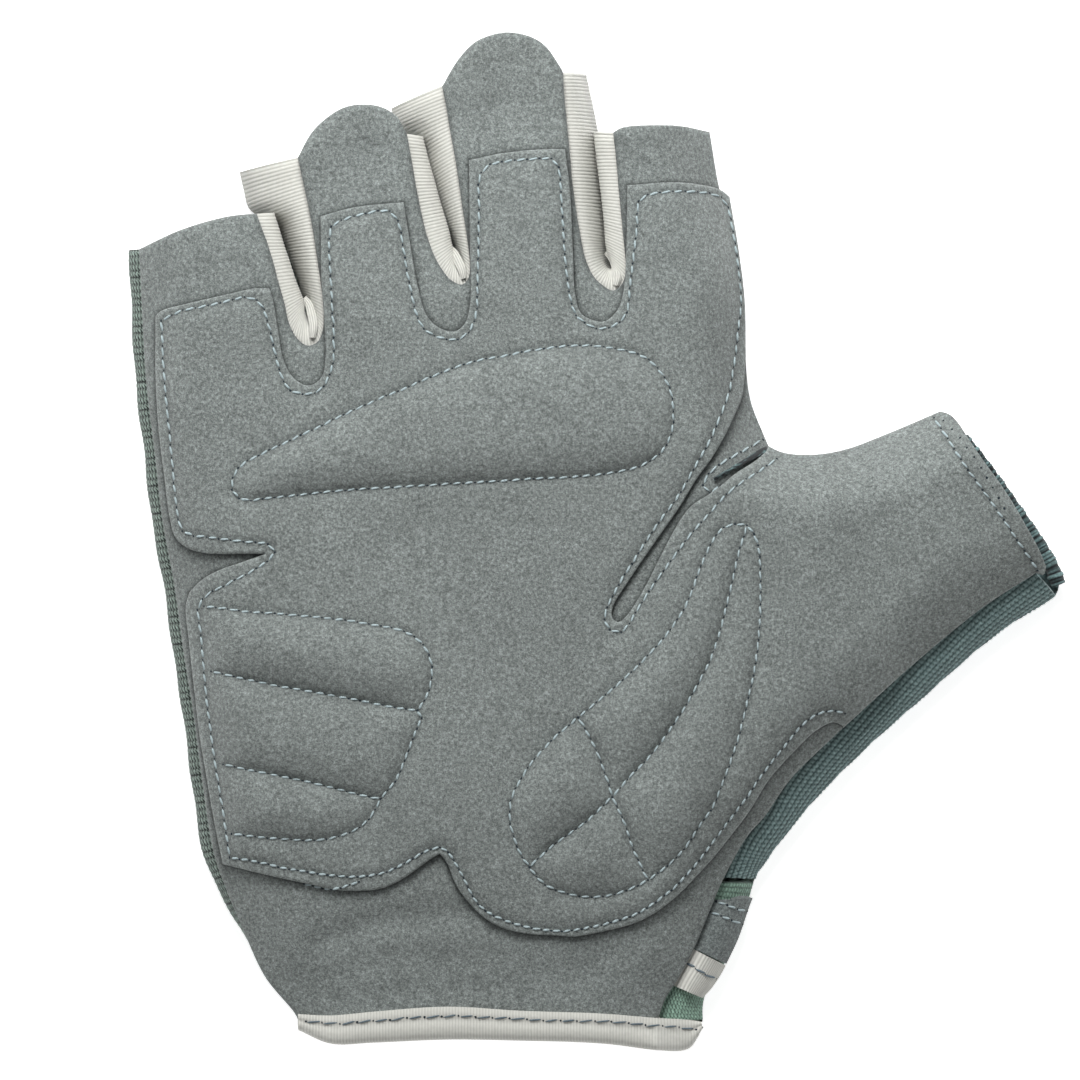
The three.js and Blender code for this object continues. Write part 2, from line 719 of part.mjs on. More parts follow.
function outward(samples, key, i) {
  const before = samples[Math.max(0, i - 1)][key];
  const after = samples[Math.min(samples.length - 1, i + 1)][key];
  return new THREE.Vector3(after.y - before.y, before.x - after.x, 0).normalize();
}

function sideStrip() {
  const samples = along(littleSide, { edge: ["x", "y"] }, facet, 0, sideStripEnd);
  return band(
    samples.map(({ edge, t }, i) => {
      const row = Math.min(littleSide.length - 2, Math.floor(t));
      const swell = mix(littleSide[row].swell, littleSide[row + 1].swell, t - row);
      const out = outward(samples, "edge", i);
      const top = raised(edge, palmUnderFacets(edge.x, edge.y) - 2 * clearance);
      const foot = raised(edge, backFacets(edge.x, edge.y) + 2 * clearance);
      return wallRow(top, foot, out, sideBulge * swell, knit);
    }),
  );
}

// A strip that slopes from the suede's lower edge out to the back's edge
function slopingStrip({ from, to }, thickness, layout) {
  const samples = along(lowerSide, { edge: ["x", "y"], out: ["outX", "outY"] }, facet, from, to);
  return band(
    samples.map(({ edge, out }) => {
      const top = raised(edge, palmUnderFacets(edge.x, edge.y) - 2 * clearance);
      const foot = raised(out, backFacets(out.x, out.y) + clearance + knit);
      return wallRow(top, foot, up, stripBulge, thickness, layout);
    }),
  );
}

// One section of the folded binding, round the hem of a sheet whose middle is at the heights given: at the
// binding's sewn edge and at its fold
function bindingRow({ x, fold, top }, [sewn, folded], half) {
  const section = (offset, edge) => [
    new THREE.Vector3(x, top, sewn + offset),
    new THREE.Vector3(x, edge + tape, folded + offset),
    new THREE.Vector3(x, edge, folded),
    new THREE.Vector3(x, edge + tape, folded - offset),
    new THREE.Vector3(x, top, sewn - offset),
  ];
  return { outer: section(half + tape, fold), inner: section(half, fold + tape) };
}

const hemCorner = place([lowerSide.at(-1).x, lowerSide.at(-1).y]);

// Rows of the binding between two places across the wrist, at the same places as the sheets' facets, and
// closer together before the second place, where a sheet falls to its side seam
function hemRows(fromX, toX) {
  const points = wristHem.map(({ x, y, depth }) => raised(place([x, y]), depth * bindingDepth));
  const line = new THREE.CatmullRomCurve3(points, false, "centripetal").getPoints(10 * points.length);
  const places = [fromX];
  let x = Math.ceil((fromX + 1) / facet) * facet;
  while (x < toX - 1) {
    places.push(x);
    x += x > toX - 2 * facet ? facet / 4 : facet;
  }
  places.push(toX);
  return places.map((across) => {
    const next = Math.max(1, line.findIndex((point) => point.x >= across - hair));
    const [a, b] = [line[next - 1], line[next]];
    const { y, z } = a.clone().lerp(b, (across - a.x) / (b.x - a.x));
    return { x: across, fold: y, top: y + z };
  });
}

// On the palm the binding goes on past the suede's corner and slopes down to the back
function palmBinding() {
  const start = place([wristHem[0].x, wristHem[0].y]);
  const end = place([wristHem.at(-1).x, wristHem.at(-1).y]);
  const sheetMiddle = (x, y) => (palmFacets(x, y) + palmUnderFacets(x, y)) / 2;
  const half = suede + 2 * clearance;
  const low = backFacets(end.x, hemCorner.y) + 2 * clearance + tape + half;
  const middles = (x, { top, fold }) => [sheetMiddle(x, top), sheetMiddle(x, fold + tape)];
  const onPalm = hemRows(start.x, hemCorner.x + clearance);
  const pastCorner = hemRows(hemCorner.x + clearance, end.x);
  return band([
    ...onPalm.map((row) => bindingRow(row, middles(Math.min(row.x, hemCorner.x), row), half)),
    ...pastCorner.slice(1).map((row) => {
      const share = (row.x - hemCorner.x - clearance) / (end.x - hemCorner.x - clearance);
      const middle = middles(hemCorner.x, row).map((height) => mix(height, low, share));
      return bindingRow(row, middle, half);
    }),
  ]);
}

function backBinding() {
  const half = knit / 2 + clearance;
  const rows = hemRows(place([wristHem[0].x, 0]).x, hemCorner.x);
  const sheetMiddle = (x, y) => backFacets(x, y) - knit / 2;
  return band(
    rows.map((row) => {
      const middles = [sheetMiddle(row.x, row.top), sheetMiddle(row.x, hemCorner.y)];
      return bindingRow(row, middles, half);
    }),
  );
}

const group = new THREE.Group();
function addPiece(name, solid, finish) {
  const mesh = new THREE.Mesh(geometryOf(solid), material(finish));
  mesh.name = name;
  group.add(mesh);
}

addPiece("palm_panel", sheet(palmOutline, palmUnder, palmFace), "suede");
addPiece("palm_overlay", sheet(overlayOutline, overlayUnder, overlayFace), "suede");
addPiece("back_panel", sheet(backOutline, backUnder, backFace), "greenKnit");
addPiece("thumb_back", sheet(thumbBackOutline, backUnder, backFace), "mesh");
for (const pad of padLayouts) {
  pad.cells.forEach((cell, i) => {
    addPiece(pad.cells.length > 1 ? `${pad.name}_${i + 1}` : pad.name, foamCell(cell), "foam");
  });
}
fourchettes.forEach((rows, i) => addPiece(`fourchette_${i + 1}`, fourchette(rows), "tape"));
addPiece("side_strip", sideStrip(), "greenKnit");
addPiece("thumb_strip", slopingStrip({ from: 0, to: stripEnd - stripGap }, knit), "terry");
addPiece("wrist_knit", slopingStrip({ from: stripEnd + stripGap, to: wristKnitEnd }, knit), "greenKnit");
const overKnit = { start: tabInset, over: clearance + tabThickness };
addPiece("closure_tab", slopingStrip(tabRows, tabThickness, overKnit), "suede");
addPiece("closure_tab_binding", slopingStrip(tabBindingRows, tabThickness, overKnit), "tape");
const overPalm = (height) => (x, y) => palmFace(x, y) + height * slopeOf(palmFace, x, y);
const gusset = sheet(trace(gussetEdge), overPalm(clearance), overPalm(clearance + meshThickness));
addPiece("thumb_gusset", gusset, "mesh");
addPiece("cuff_binding", palmBinding(), "tape");
addPiece("cuff_binding_back", backBinding(), "tape");

// The origin is under the middle of the glove
const middle = new THREE.Box3().setFromObject(group).getCenter(new THREE.Vector3());
group.position.set(-middle.x, -middle.y, 0);

export default group;
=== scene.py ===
"""A fingerless weightlifting glove that lies palm up on a pale floor."""
import math

import bpy
import numpy as np
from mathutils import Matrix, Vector
from mathutils.bvhtree import BVHTree
from mathutils.geometry import delaunay_2d_cdt


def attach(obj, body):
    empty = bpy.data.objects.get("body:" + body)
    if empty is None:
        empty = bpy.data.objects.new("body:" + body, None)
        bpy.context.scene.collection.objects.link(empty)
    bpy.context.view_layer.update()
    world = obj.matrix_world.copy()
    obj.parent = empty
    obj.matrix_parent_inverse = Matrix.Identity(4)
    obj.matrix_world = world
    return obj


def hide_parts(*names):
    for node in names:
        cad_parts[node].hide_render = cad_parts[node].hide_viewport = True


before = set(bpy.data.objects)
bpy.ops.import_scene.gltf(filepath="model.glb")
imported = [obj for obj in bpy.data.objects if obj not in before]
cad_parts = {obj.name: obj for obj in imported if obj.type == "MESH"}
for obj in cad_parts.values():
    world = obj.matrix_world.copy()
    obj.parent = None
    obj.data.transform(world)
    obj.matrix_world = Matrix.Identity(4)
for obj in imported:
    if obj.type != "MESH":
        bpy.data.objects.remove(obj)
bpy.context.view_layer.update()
rng = np.random.default_rng(7)

# Places are given in pixels of a square view from above and turned into millimetres of the part's frame.
VIEW_SIDE = 1080
PIXEL = 0.165
FRAME_U = 594.1
FRAME_V = 541.0
METRE = 0.001

# Sizes of the hand in millimetres, and the share of the palm over which the wrist rises to its height
WRIST_V = 1040
PALM_LEFT_U = 144
PALM_WIDTH = 99
PALM_LENGTH = 115.5
FINGER_LENGTH = 49.5
THUMB_REACH = 49.5
PALM_HEIGHT = 16
FINGER_HEIGHT = 13.5
THUMB_HEIGHT = 14
WRIST_HEIGHT = 13
WRIST_RISE = 0.4
SHOULDER = 11
WRAP_SEAM = 5
STRIP_SEAM = 9.5

# Materials' thickness and the layers' places
SUEDE = 1.1
KNIT = 1.2
TAPE = 1.0
FOAM_RISE = 2.0
FOAM_ROUND = 5.0
SMOOTHING_ROUNDS = 14
CHANNEL = 2.4
CLEARANCE = 0.3
LAYER_GAP = 0.6
BACK_LIFT = 1.0
BACK_ROUND = 7.0
BINDING_DEPTH = 5.0
TAB_THICKNESS = 1.4

# Small forms of the suede: the depth of each, or the gap left under the overlay's edge, and then the width
FINGER_ROLL = (0.9, 2.4)
HEM_ROUND = (0.35, 1.6)
STITCH_GROOVE = (0.28, 0.75)
EDGE_SETTLE = (0.12, 3.5)

# Widths over which folds and sway grow from a side seam, and over which the back drops past its binding
FOLD_GROWTH = 6
SWAY_GROWTH = 8
BACK_DROP = 6

# Where the overlay has left the base sheet: how far past the hidden seam, and the width of the change
PAST_SEAM = 8.5
SEAM_CHANGE = 6

# Painted light and shade on the suede, from 0, a painted highlight, to 1, painted shade, and the plain level
# between
PLAIN = 0.3

# Fineness of the meshes
GRID = 0.8
FOAM_GRID = 1.3
COARSE_GRID = 1.1
INSETS = (0.25, 0.75)
FINE = 0.6
EDGE_STEP = 1.5
WEAVE = 0.27
SEAM_STEP = 2.5
REGION_STEP = 3
FIELD_STEP = 1.4
TAPE_COLUMNS = 24

# Pitch of the ribs of the tapes, the bindings and the rolled hem
RIB = 0.58
BINDING_RIB = 0.5
ROLL_PITCH = 0.8

# Edges of the base sheet
LITTLE_SIDE = [(139, 249), (146, 380), (155, 456), (162, 518), (174, 584), (184, 655), (193, 712), (202, 780),
               (213, 850), (226, 889), (241, 925), (265, 977), (295, 1014), (299, 1023)]
INDEX_SIDE = [(710, 131), (720, 189), (738, 250), (745, 301), (746, 357), (751, 400), (769, 446)]
THUMB_TOP = [(769, 446), (779, 451), (792, 454), (821, 454), (850, 448), (882, 436), (911, 424), (941, 411)]
THUMB_HEM = [(941, 411), (950, 414), (957, 421), (971, 443), (983, 461), (997, 480), (1011, 501), (1025, 525),
             (1039, 550), (1046, 566)]
HEM_CORNER = [(1046, 566), (1044, 575), (1036, 573)]
HIDDEN_EDGE = [(769, 446), (774, 550), (843, 728)]
LITTLE_HEM = [(139, 249), (182, 230), (228, 217), (257, 214)]
RING_HEM = [(298, 158), (312, 133), (330, 116), (347, 107), (368, 105), (383, 108), (397, 117), (407, 134)]
MIDDLE_HEM = [(442, 87), (459, 59), (476, 42), (497, 34), (512, 33), (530, 37), (545, 46), (564, 73)]
INDEX_HEM = [(613, 133), (622, 128), (655, 125.5), (681, 126), (710, 131)]

# Lower edge of the thumb and palm: u and v of the suede's edge, then of the edge that shows past it
LOWER_SIDE = [
    (1036, 573, 1057, 596), (981, 609, 999, 633), (899, 677, 921, 700), (843, 728, 868, 747),
    (790, 780, 818, 797), (766, 815, 790, 830), (747, 837, 769, 858), (723, 880, 755, 881),
    (709, 913, 742, 925), (694, 949, 725, 964), (680, 976, 708, 990), (665, 1000, 703, 1006),
    (657, 1023, 703, 1023),
]
STRIP_END = 7
KNIT_END = 11.85

# Strap end beside the wrist and its folded binding, in the same columns
TAB = [(714, 900, 747, 899), (707, 911, 742, 912), (700, 927, 733, 937), (691, 947, 721, 962)]
TAB_BINDING = [(691, 948, 720, 963), (685, 959, 714, 974), (678, 972, 706, 986), (672, 985, 697, 996)]
TAB_STITCH = [[(717, 902), (727, 905), (737, 909), (747, 912)],
              [(710, 912), (719, 915), (730, 920), (743, 925)]]
TAB_BINDING_STITCH = [[(686, 962), (698, 970), (716, 980)]]

# Tapes between the fingers, from one finger round the root to the next: u and v of the sewn edge, then of
# the fold that the same rib reaches, then 1 where the tape is rolled and 0 where it lies flat
TAPES = [
    [(257, 214, 271, 213, 1), (262, 228, 276, 228, 1), (268, 244, 281, 244, 1), (274, 264, 287, 262, 1),
     (279, 283, 293, 281, 1), (285, 304, 299, 297, 1), (289, 322, 302, 307, 0.9), (297, 338, 304, 311, 0.7),
     (308, 346, 306, 313, 0.5), (318, 342, 307, 312, 0.3), (323, 331, 307, 307, 0.1), (324, 315, 304, 300, 0),
     (322, 290, 299, 284, 0), (318, 262, 291, 262, 0), (314, 236, 283, 240, 0), (310, 214, 274, 224, 0),
     (305, 190, 249, 208, 0), (301, 172, 243, 188, 0), (298, 158, 239, 171, 0)],
    [(407, 134, 420, 136, 1), (411, 156, 425, 157, 1), (415, 180, 431, 180, 1), (420, 206, 437, 203, 1),
     (426, 232, 444, 227, 1), (434, 255, 449, 246, 0.95), (443, 271, 453, 256, 0.8),
     (452, 281, 455, 260, 0.6), (463, 285, 457, 261, 0.4), (469, 277, 457, 257, 0.2),
     (470, 264, 455, 250, 0), (467, 238, 449, 235, 0),
     (463, 212, 442, 219, 0), (459, 184, 434, 196, 0), (455, 158, 427, 174, 0), (450, 130, 419, 146, 0),
     (446, 106, 397, 125, 0), (442, 86, 391, 107, 0)],
    [(563, 73, 586, 73, 0), (564, 92, 590, 92, 0), (566, 115, 595, 116, 0), (569, 145, 600, 146, 0),
     (572, 179, 603, 180, 0), (576, 210, 606, 212, 0), (580, 234, 608, 237, 0), (585, 258, 609, 252, 0),
     (593, 276, 610, 262, 0.2), (603, 286, 611, 266, 0.4), (613, 291, 612, 267, 0.6),
     (622, 284, 612, 264, 0.8), (626, 270, 611, 257, 0.95), (625, 256, 609, 247, 1),
     (622, 226, 607, 222, 1), (619, 194, 604, 193, 1),
     (616, 160, 600, 160, 1), (613, 133, 597, 132, 1)],
]
TAPE_FOLDS = [[(304, 298), (309, 305), (312, 315), (314, 327), (313, 338)],
              [(446, 246), (453, 252), (458, 261), (462, 270), (464, 279)],
              [(606, 252), (612, 258), (616, 267), (618, 277), (616, 286)]]

# Cut edge of the overlay
OVERLAY_EDGE = [
    [(156, 316), (162, 311), (189, 304), (228, 295), (256, 289), (270, 289)],
    [(270, 289), (273, 298), (279, 332), (284, 360), (294, 378), (309, 386), (322, 378), (326, 357),
     (322, 281), (321, 217)],
    [(321, 217), (355, 208), (404, 203)],
    [(404, 203), (411, 247), (419, 291), (427, 316), (439, 328), (455, 332), (465, 324), (470, 306),
     (470, 240), (469, 161)],
    [(469, 161), (502, 154), (543, 150), (565, 150)],
    [(565, 150), (570, 191), (573, 255), (575, 293), (581, 314), (594, 321), (604, 322), (617, 311),
     (623, 293), (626, 255), (627, 186)],
    [(627, 186), (681, 183), (720, 189), (730, 196)],
    [(730, 196), (739, 250), (745, 301), (746, 357)],
    [(746, 357), (742, 397), (735, 414), (724, 437), (709, 462), (697, 478), (680, 506), (657, 539),
     (629, 580), (613, 606), (612, 617), (618, 622), (626, 616), (644, 588), (669, 539), (684, 514),
     (692, 505), (709, 494), (720, 486), (732, 476), (739, 471), (755, 461), (769, 449)],
]
SCALLOP = [
    [(843, 726), (833, 722), (815, 731), (794, 751), (769, 779), (749, 811), (731, 835), (715, 855),
     (696, 876), (676, 896), (655, 912), (633, 923), (602, 931), (572, 936), (560, 935), (527, 933),
     (502, 927), (483, 916), (468, 901), (456, 884), (447, 862), (440, 853)],
    [(440, 853), (430, 859), (415, 870), (398, 881), (381, 888), (359, 890), (335, 889), (308, 883),
     (284, 878), (253, 871), (223, 864)],
]
NOTCH = [
    [(223, 864), (215, 825), (206, 773), (200, 737), (194, 686), (189, 640), (186, 606), (190, 592)],
    [(190, 592), (202, 580), (220, 570), (243, 562), (266, 554)],
    [(266, 554), (205, 553), (188, 548), (176, 538), (170, 518), (165, 480), (159, 431), (156, 380),
     (156, 316)],
]

# Stitch lines
PERIMETER_STITCH = [
    (162, 321), (184, 311), (215, 305), (253, 298), (263, 306), (270, 329), (279, 365), (287, 388),
    (294, 393), (312, 395), (323, 389), (331, 375), (335, 350), (332, 293), (330, 235), (333, 226),
    (342, 221), (368, 214), (388, 211), (397, 219), (406, 265), (416, 311), (424, 329), (439, 338),
    (455, 341), (467, 335), (475, 321), (478, 281), (479, 217), (481, 173), (488, 166), (510, 162),
    (543, 159), (556, 161), (559, 173), (563, 230), (567, 281), (575, 315), (589, 326), (601, 330),
    (617, 324), (626, 316), (631, 278), (636, 235), (640, 199), (655, 194), (675, 192), (701, 193),
    (719, 195), (727, 204), (732, 224), (737, 255), (741, 301), (738, 332), (734, 365), (729, 391),
    (714, 430), (700, 457), (680, 493), (654, 529), (629, 567), (613, 595), (604, 616), (608, 629),
    (617, 633), (625, 629), (639, 606), (664, 570), (692, 532), (706, 517), (720, 501), (743, 481),
    (757, 473), (777, 459),
]
LEFT_STITCH = [
    [(162, 321), (165, 380), (170, 431), (176, 497), (179, 520), (185, 533), (207, 537), (235, 541),
     (270, 544), (276, 549), (274, 556), (253, 571), (228, 584), (207, 596), (199, 606), (202, 640),
     (206, 686), (212, 737), (217, 773), (224, 815), (230, 857)],
]
LOWER_STITCH = [
    [(230, 857), (258, 861), (284, 867), (316, 872), (345, 876), (359, 876), (384, 872), (403, 864),
     (417, 855), (427, 850), (438, 846), (447, 850), (459, 867), (470, 889), (480, 905), (497, 916),
     (519, 924), (543, 929), (560, 930), (575, 929), (600, 924), (629, 916), (650, 905), (671, 889),
     (690, 870), (708, 848), (725, 825), (742, 802), (756, 782), (782, 748), (799, 727), (817, 713),
     (833, 710), (845, 713)],
]
RESTART_STITCH = [[(304, 883), (320, 887), (337, 888), (359, 881)]]
HEM_STITCH = [[(935, 418), (967, 469), (1000, 515), (1024, 551), (1038, 570)]]
HEM_HOLES = [[(944, 421), (958, 436), (974, 458), (990, 484), (1004, 508)]]
CROTCH_STITCH = [[(763, 440), (750, 447), (733, 456), (717, 466), (707, 475), (703, 483), (703, 490),
                  (708, 494), (714, 491), (720, 486)]]
KNUCKLE = [[(233, 490), (233, 480), (236, 472), (245, 463), (273, 449), (304, 435), (342, 416), (381, 399),
            (419, 383), (471, 363), (507, 356), (543, 349), (576, 346), (601, 347), (624, 351), (645, 358),
            (658, 370), (668, 385), (672, 400), (672, 430), (662, 451), (654, 458), (639, 467), (616, 472),
            (590, 476), (534, 479), (488, 482), (450, 484), (400, 487), (350, 490), (280, 497), (245, 500),
            (236, 496), (233, 490)]]
HEEL = {
    "top": [(205, 606), (253, 612), (294, 615), (337, 619), (375, 625), (401, 630), (419, 640), (429, 655),
            (432, 668), (429, 691), (418, 710)],
    "middle": [(418, 710), (423, 712), (414, 735), (406, 758), (396, 780), (381, 798)],
    "bottom": [(381, 798), (369, 819), (354, 830), (337, 836), (316, 839), (284, 838), (260, 836),
               (233, 833)],
    "left_low": [(233, 833), (224, 764)],
    "left_middle": [(224, 764), (212, 671)],
    "left_high": [(212, 671), (205, 606)],
    "quilt_high": [(212, 671), (239, 677), (281, 686), (317, 692), (353, 699), (386, 705), (418, 710)],
    "quilt_low": [(224, 764), (253, 770), (294, 778), (336, 788), (359, 794), (381, 798)],
}
TIP = (746, 525)
CROSSING = (612, 796)
THUMB_PAD = {
    "upper_left": [TIP, (733, 524), (720, 529), (710, 544), (697, 575), (685, 606), (662, 639), (629, 674),
                   (600, 699), (578, 717)],
    "lower_left": [(578, 717), (552, 739), (532, 762), (519, 782), (511, 799), (510, 820), (513, 833),
                   (519, 851), (529, 866)],
    "bottom": [(529, 866), (541, 881), (558, 890), (578, 895), (598, 896), (619, 892), (635, 886),
               (648, 879)],
    "right": [(648, 879), (670, 862), (688, 843), (700, 823), (713, 804), (725, 774), (736, 743), (746, 705),
              (754, 667), (759, 623), (760, 583), (759, 557), (754, 535), TIP],
    "vein_high": [TIP, (738, 552), (731, 585), (723, 618), (713, 651), (697, 685), (674, 723), (649, 756),
                  (626, 780), CROSSING],
    "vein_low": [CROSSING, (586, 821), (555, 843), (529, 866)],
    "cross_high": [(578, 717), (593, 743), (604, 771), CROSSING],
    "cross_low": [CROSSING, (623, 818), (633, 849), (648, 879)],
}
PAD_CELLS = {
    "knuckle_pad": [KNUCKLE[0]],
    "heel_pad_1": [HEEL["top"], HEEL["quilt_high"][::-1], HEEL["left_high"]],
    "heel_pad_2": [HEEL["quilt_high"], HEEL["middle"], HEEL["quilt_low"][::-1], HEEL["left_middle"]],
    "heel_pad_3": [HEEL["quilt_low"], HEEL["bottom"], HEEL["left_low"]],
    "thumb_pad_1": [THUMB_PAD["upper_left"], THUMB_PAD["cross_high"], THUMB_PAD["vein_high"][::-1]],
    "thumb_pad_2": [THUMB_PAD["lower_left"], THUMB_PAD["vein_low"][::-1], THUMB_PAD["cross_high"][::-1]],
    "thumb_pad_3": [THUMB_PAD["bottom"], THUMB_PAD["cross_low"][::-1], THUMB_PAD["vein_low"]],
    "thumb_pad_4": [THUMB_PAD["right"], THUMB_PAD["vein_high"], THUMB_PAD["cross_low"]],
}

# Wrist binding: u of a section, v of its sewn edge and v of its fold
WRIST_HEM = [(298, 1014, 1030), (330, 1015, 1043), (374, 1011, 1042), (447, 1006, 1039), (519, 1010, 1040),
             (602, 1013, 1043), (657, 1018, 1050), (684, 1020, 1051), (692, 1021, 1047), (698, 1022, 1038),
             (702, 1023, 1030)]
# Where the binding of the back ends
BACK_HEM_END = 660
WRIST_STITCH = [(306, 1021), (337, 1023), (369, 1020), (391, 1019), (422, 1016), (456, 1015), (495, 1017),
                (529, 1019), (572, 1020), (602, 1020), (643, 1024), (674, 1027), (696, 1030)]

# Soft folds of the suede: the line of each, its depth in millimetres and half its width
FOLDS = [
    ([(318, 945), (365, 928), (420, 916), (460, 912)], -0.8, 2.6),
    ([(290, 985), (380, 962), (470, 965), (570, 975)], -0.45, 3.0),
    ([(330, 1000), (420, 990), (520, 990)], -0.35, 2.0),
    ([(600, 960), (640, 935), (680, 900)], -0.5, 3.0),
    ([(470, 120), (500, 105), (545, 118)], -0.7, 3.5),
    ([(330, 175), (360, 150), (392, 165)], -0.5, 3.0),
    ([(640, 160), (670, 150), (700, 165)], -0.4, 3.0),
    ([(771, 444), (781, 447), (797, 449)], 0.5, 0.9),
    ([(930, 470), (950, 500), (975, 530)], -0.5, 3.5),
    ([(830, 500), (860, 560), (850, 640)], -0.5, 6.0),
    ([(420, 545), (470, 640), (500, 720)], -0.4, 8.0),
]

# Curves and outlines


def millimetres(points):
    """Frame millimetres from pixels"""
    places = np.array(points, float)
    return np.stack([(places[:, 0] - FRAME_U) * PIXEL, (FRAME_V - places[:, 1]) * PIXEL], axis=1)


def dense_curve(points, parts=16):
    """Centripetal Catmull-Rom points through the given ones, in any number of dimensions"""
    given = np.array(points, float)
    if len(given) == 2:
        return given[0] + np.linspace(0, 1, parts + 1)[:, None] * (given[1] - given[0])
    whole = np.vstack([2 * given[0] - given[1], given, 2 * given[-1] - given[-2]])
    knots = np.maximum(np.linalg.norm(np.diff(whole[:, :2], axis=0), axis=1) ** 0.5, 1e-3)
    share = np.linspace(0, 1, parts, endpoint=False)[:, None]
    pieces = []
    for i in range(1, len(whole) - 2):
        before, start, end, after = whole[i - 1:i + 3]
        first, middle, last = knots[i - 1:i + 2]
        step = (end - start) / middle
        leave = ((start - before) / first - (end - before) / (first + middle) + step) * middle
        reach = (step - (after - start) / (middle + last) + (after - end) / last) * middle
        square = 3 * (end - start) - 2 * leave - reach
        cube = 2 * (start - end) + leave + reach
        pieces.append(start + leave * share + square * share ** 2 + cube * share ** 3)
    pieces.append(given[-1:])
    return np.vstack(pieces)


def run_length(points):
    """How far along a line each of its points is, measured in its first two columns"""
    return np.concatenate([[0], np.cumsum(np.linalg.norm(np.diff(points[:, :2], axis=0), axis=1))])


def even_steps(points, step, fixed=0):
    """The same line with its points at even steps, or at a fixed number of them"""
    total = run_length(points)
    count = fixed or max(2, round(total[-1] / step))
    places = np.linspace(0, total[-1], count + 1)
    return np.stack([np.interp(places, total, column) for column in points.T], axis=1)


def line(points, step=FINE):
    return even_steps(dense_curve(millimetres(points)), step)


def lines_of(tables, step=FINE):
    return [line(points, step) for points in tables]


def trace(stretches, step=FINE):
    """A closed outline from stretches that start where the one before ends"""
    outline = np.vstack([line(stretch, step)[:-1] for stretch in stretches])
    gaps = np.linalg.norm(outline - np.roll(outline, 1, axis=0), axis=1)
    return outline[gaps > 0.05]


def joined(*runs):
    """Stretches of a closed outline: each run of points, then a straight stretch to the next run"""
    stretches = []
    for run, after in zip(runs, runs[1:] + runs[:1]):
        if len(run) > 1:
            stretches.append(run)
        if run[-1] != after[0]:
            stretches.append([run[-1], after[0]])
    return stretches


def segments(lines):
    return np.concatenate([np.stack([points[:-1], points[1:]], axis=1) for points in lines])


def left_of(points):
    """Unit vector square to a line at each of its points, on its left"""
    along = np.gradient(points, axis=0)
    along /= np.maximum(np.linalg.norm(along, axis=1, keepdims=True), 1e-9)
    return np.stack([-along[:, 1], along[:, 0]], axis=1)


def towards(points, sign):
    """The same vector on the side where its X in the middle of the line has this sign"""
    side = left_of(points)
    return side * sign * np.sign(side[len(side) // 2, 0])


def near(points, pieces):
    """Distance from each point to the nearest segment, and which segment and place on it"""
    distance = np.empty(len(points))
    index = np.empty(len(points), int)
    foot = np.empty((len(points), 2))
    start = pieces[:, 0]
    along = pieces[:, 1] - start
    square = np.maximum((along ** 2).sum(1), 1e-12)
    for first in range(0, len(points), 3000):
        part = slice(first, first + 3000)
        offset = points[part, None] - start[None]
        share = np.clip((offset * along).sum(2) / square, 0, 1)
        gap = offset - share[..., None] * along
        length = (gap ** 2).sum(2)
        best = length.argmin(1)
        rows = np.arange(len(best))
        distance[part] = np.sqrt(length[rows, best])
        index[part] = best
        foot[part] = points[part] - gap[rows, best]
    return distance, index, foot


def inside(points, outline):
    count = np.zeros(len(points), int)
    for a, b in zip(outline, np.roll(outline, -1, axis=0)):
        spans = (a[1] > points[:, 1]) != (b[1] > points[:, 1])
        rise = b[1] - a[1] if b[1] != a[1] else 1e-12
        count += spans & (points[:, 0] < (b[0] - a[0]) * (points[:, 1] - a[1]) / rise + a[0])
    return count % 2 == 1


def ease(share):
    share = np.clip(share, 0, 1)
    return share * share * (3 - 2 * share)


def round_off(share):
    return np.sin(np.pi / 2 * np.clip(share, -1, 1))


def mix(a, b, share):
    return a + (b - a) * share


def fade(points, pieces, width):
    """1 on the segments, and soon 0 away from them"""
    return np.exp(-(near(points, pieces)[0] / width) ** 2)


# Heights of the faces

lower_edge = [row[:2] for row in LOWER_SIDE]
out_edge = [row[2:] for row in LOWER_SIDE]
upper_side = INDEX_SIDE + THUMB_TOP[1:]
palm_seams = lines_of([LITTLE_SIDE, lower_edge, upper_side], SEAM_STEP)
palm_seam_pieces = segments(palm_seams)
seam_heights = np.repeat([STRIP_SEAM, STRIP_SEAM, WRAP_SEAM], [len(seam) - 1 for seam in palm_seams])
back_seam_pieces = segments(lines_of([LITTLE_SIDE, out_edge, upper_side], SEAM_STEP))
tape_edges = [[row[:2] for row in rows] for rows in TAPES]
tape_feet = [[row[2:4] for row in rows] for rows in TAPES]
finger_edges = segments(lines_of(tape_edges, EDGE_STEP))
hem_edges = segments(lines_of([LITTLE_HEM, RING_HEM, MIDDLE_HEM, INDEX_HEM, THUMB_HEM], EDGE_STEP))
hidden_seam = segments(lines_of([INDEX_SIDE, HIDDEN_EDGE], 2))
fold_lines = [(segments([line(points, REGION_STEP)]), depth, width) for points, depth, width in FOLDS]
hand_region = trace(joined(LITTLE_SIDE[::-1], [(139, -60)], [(710, -60)], INDEX_SIDE, THUMB_TOP,
                           [(1120, 330)], [(1120, 620)], lower_edge, [(720, 1120)], [(240, 1120)]),
                    REGION_STEP)
hidden_side = trace(joined(INDEX_SIDE, HIDDEN_EDGE, [(843, 1150)], [(0, 1150)], [(0, -50)], [(710, -50)]),
                    REGION_STEP)

# Slow waves of the cloth: shortest and longest in millimetres, how many, and their height
SHORT_WAVE = 9
LONG_WAVE = 34
WAVES = 18
SWAY = 0.035
phases = rng.uniform(0, 2 * np.pi, WAVES)
turns = rng.uniform(0, np.pi, WAVES)
wave_lengths = rng.uniform(SHORT_WAVE, LONG_WAVE, WAVES)


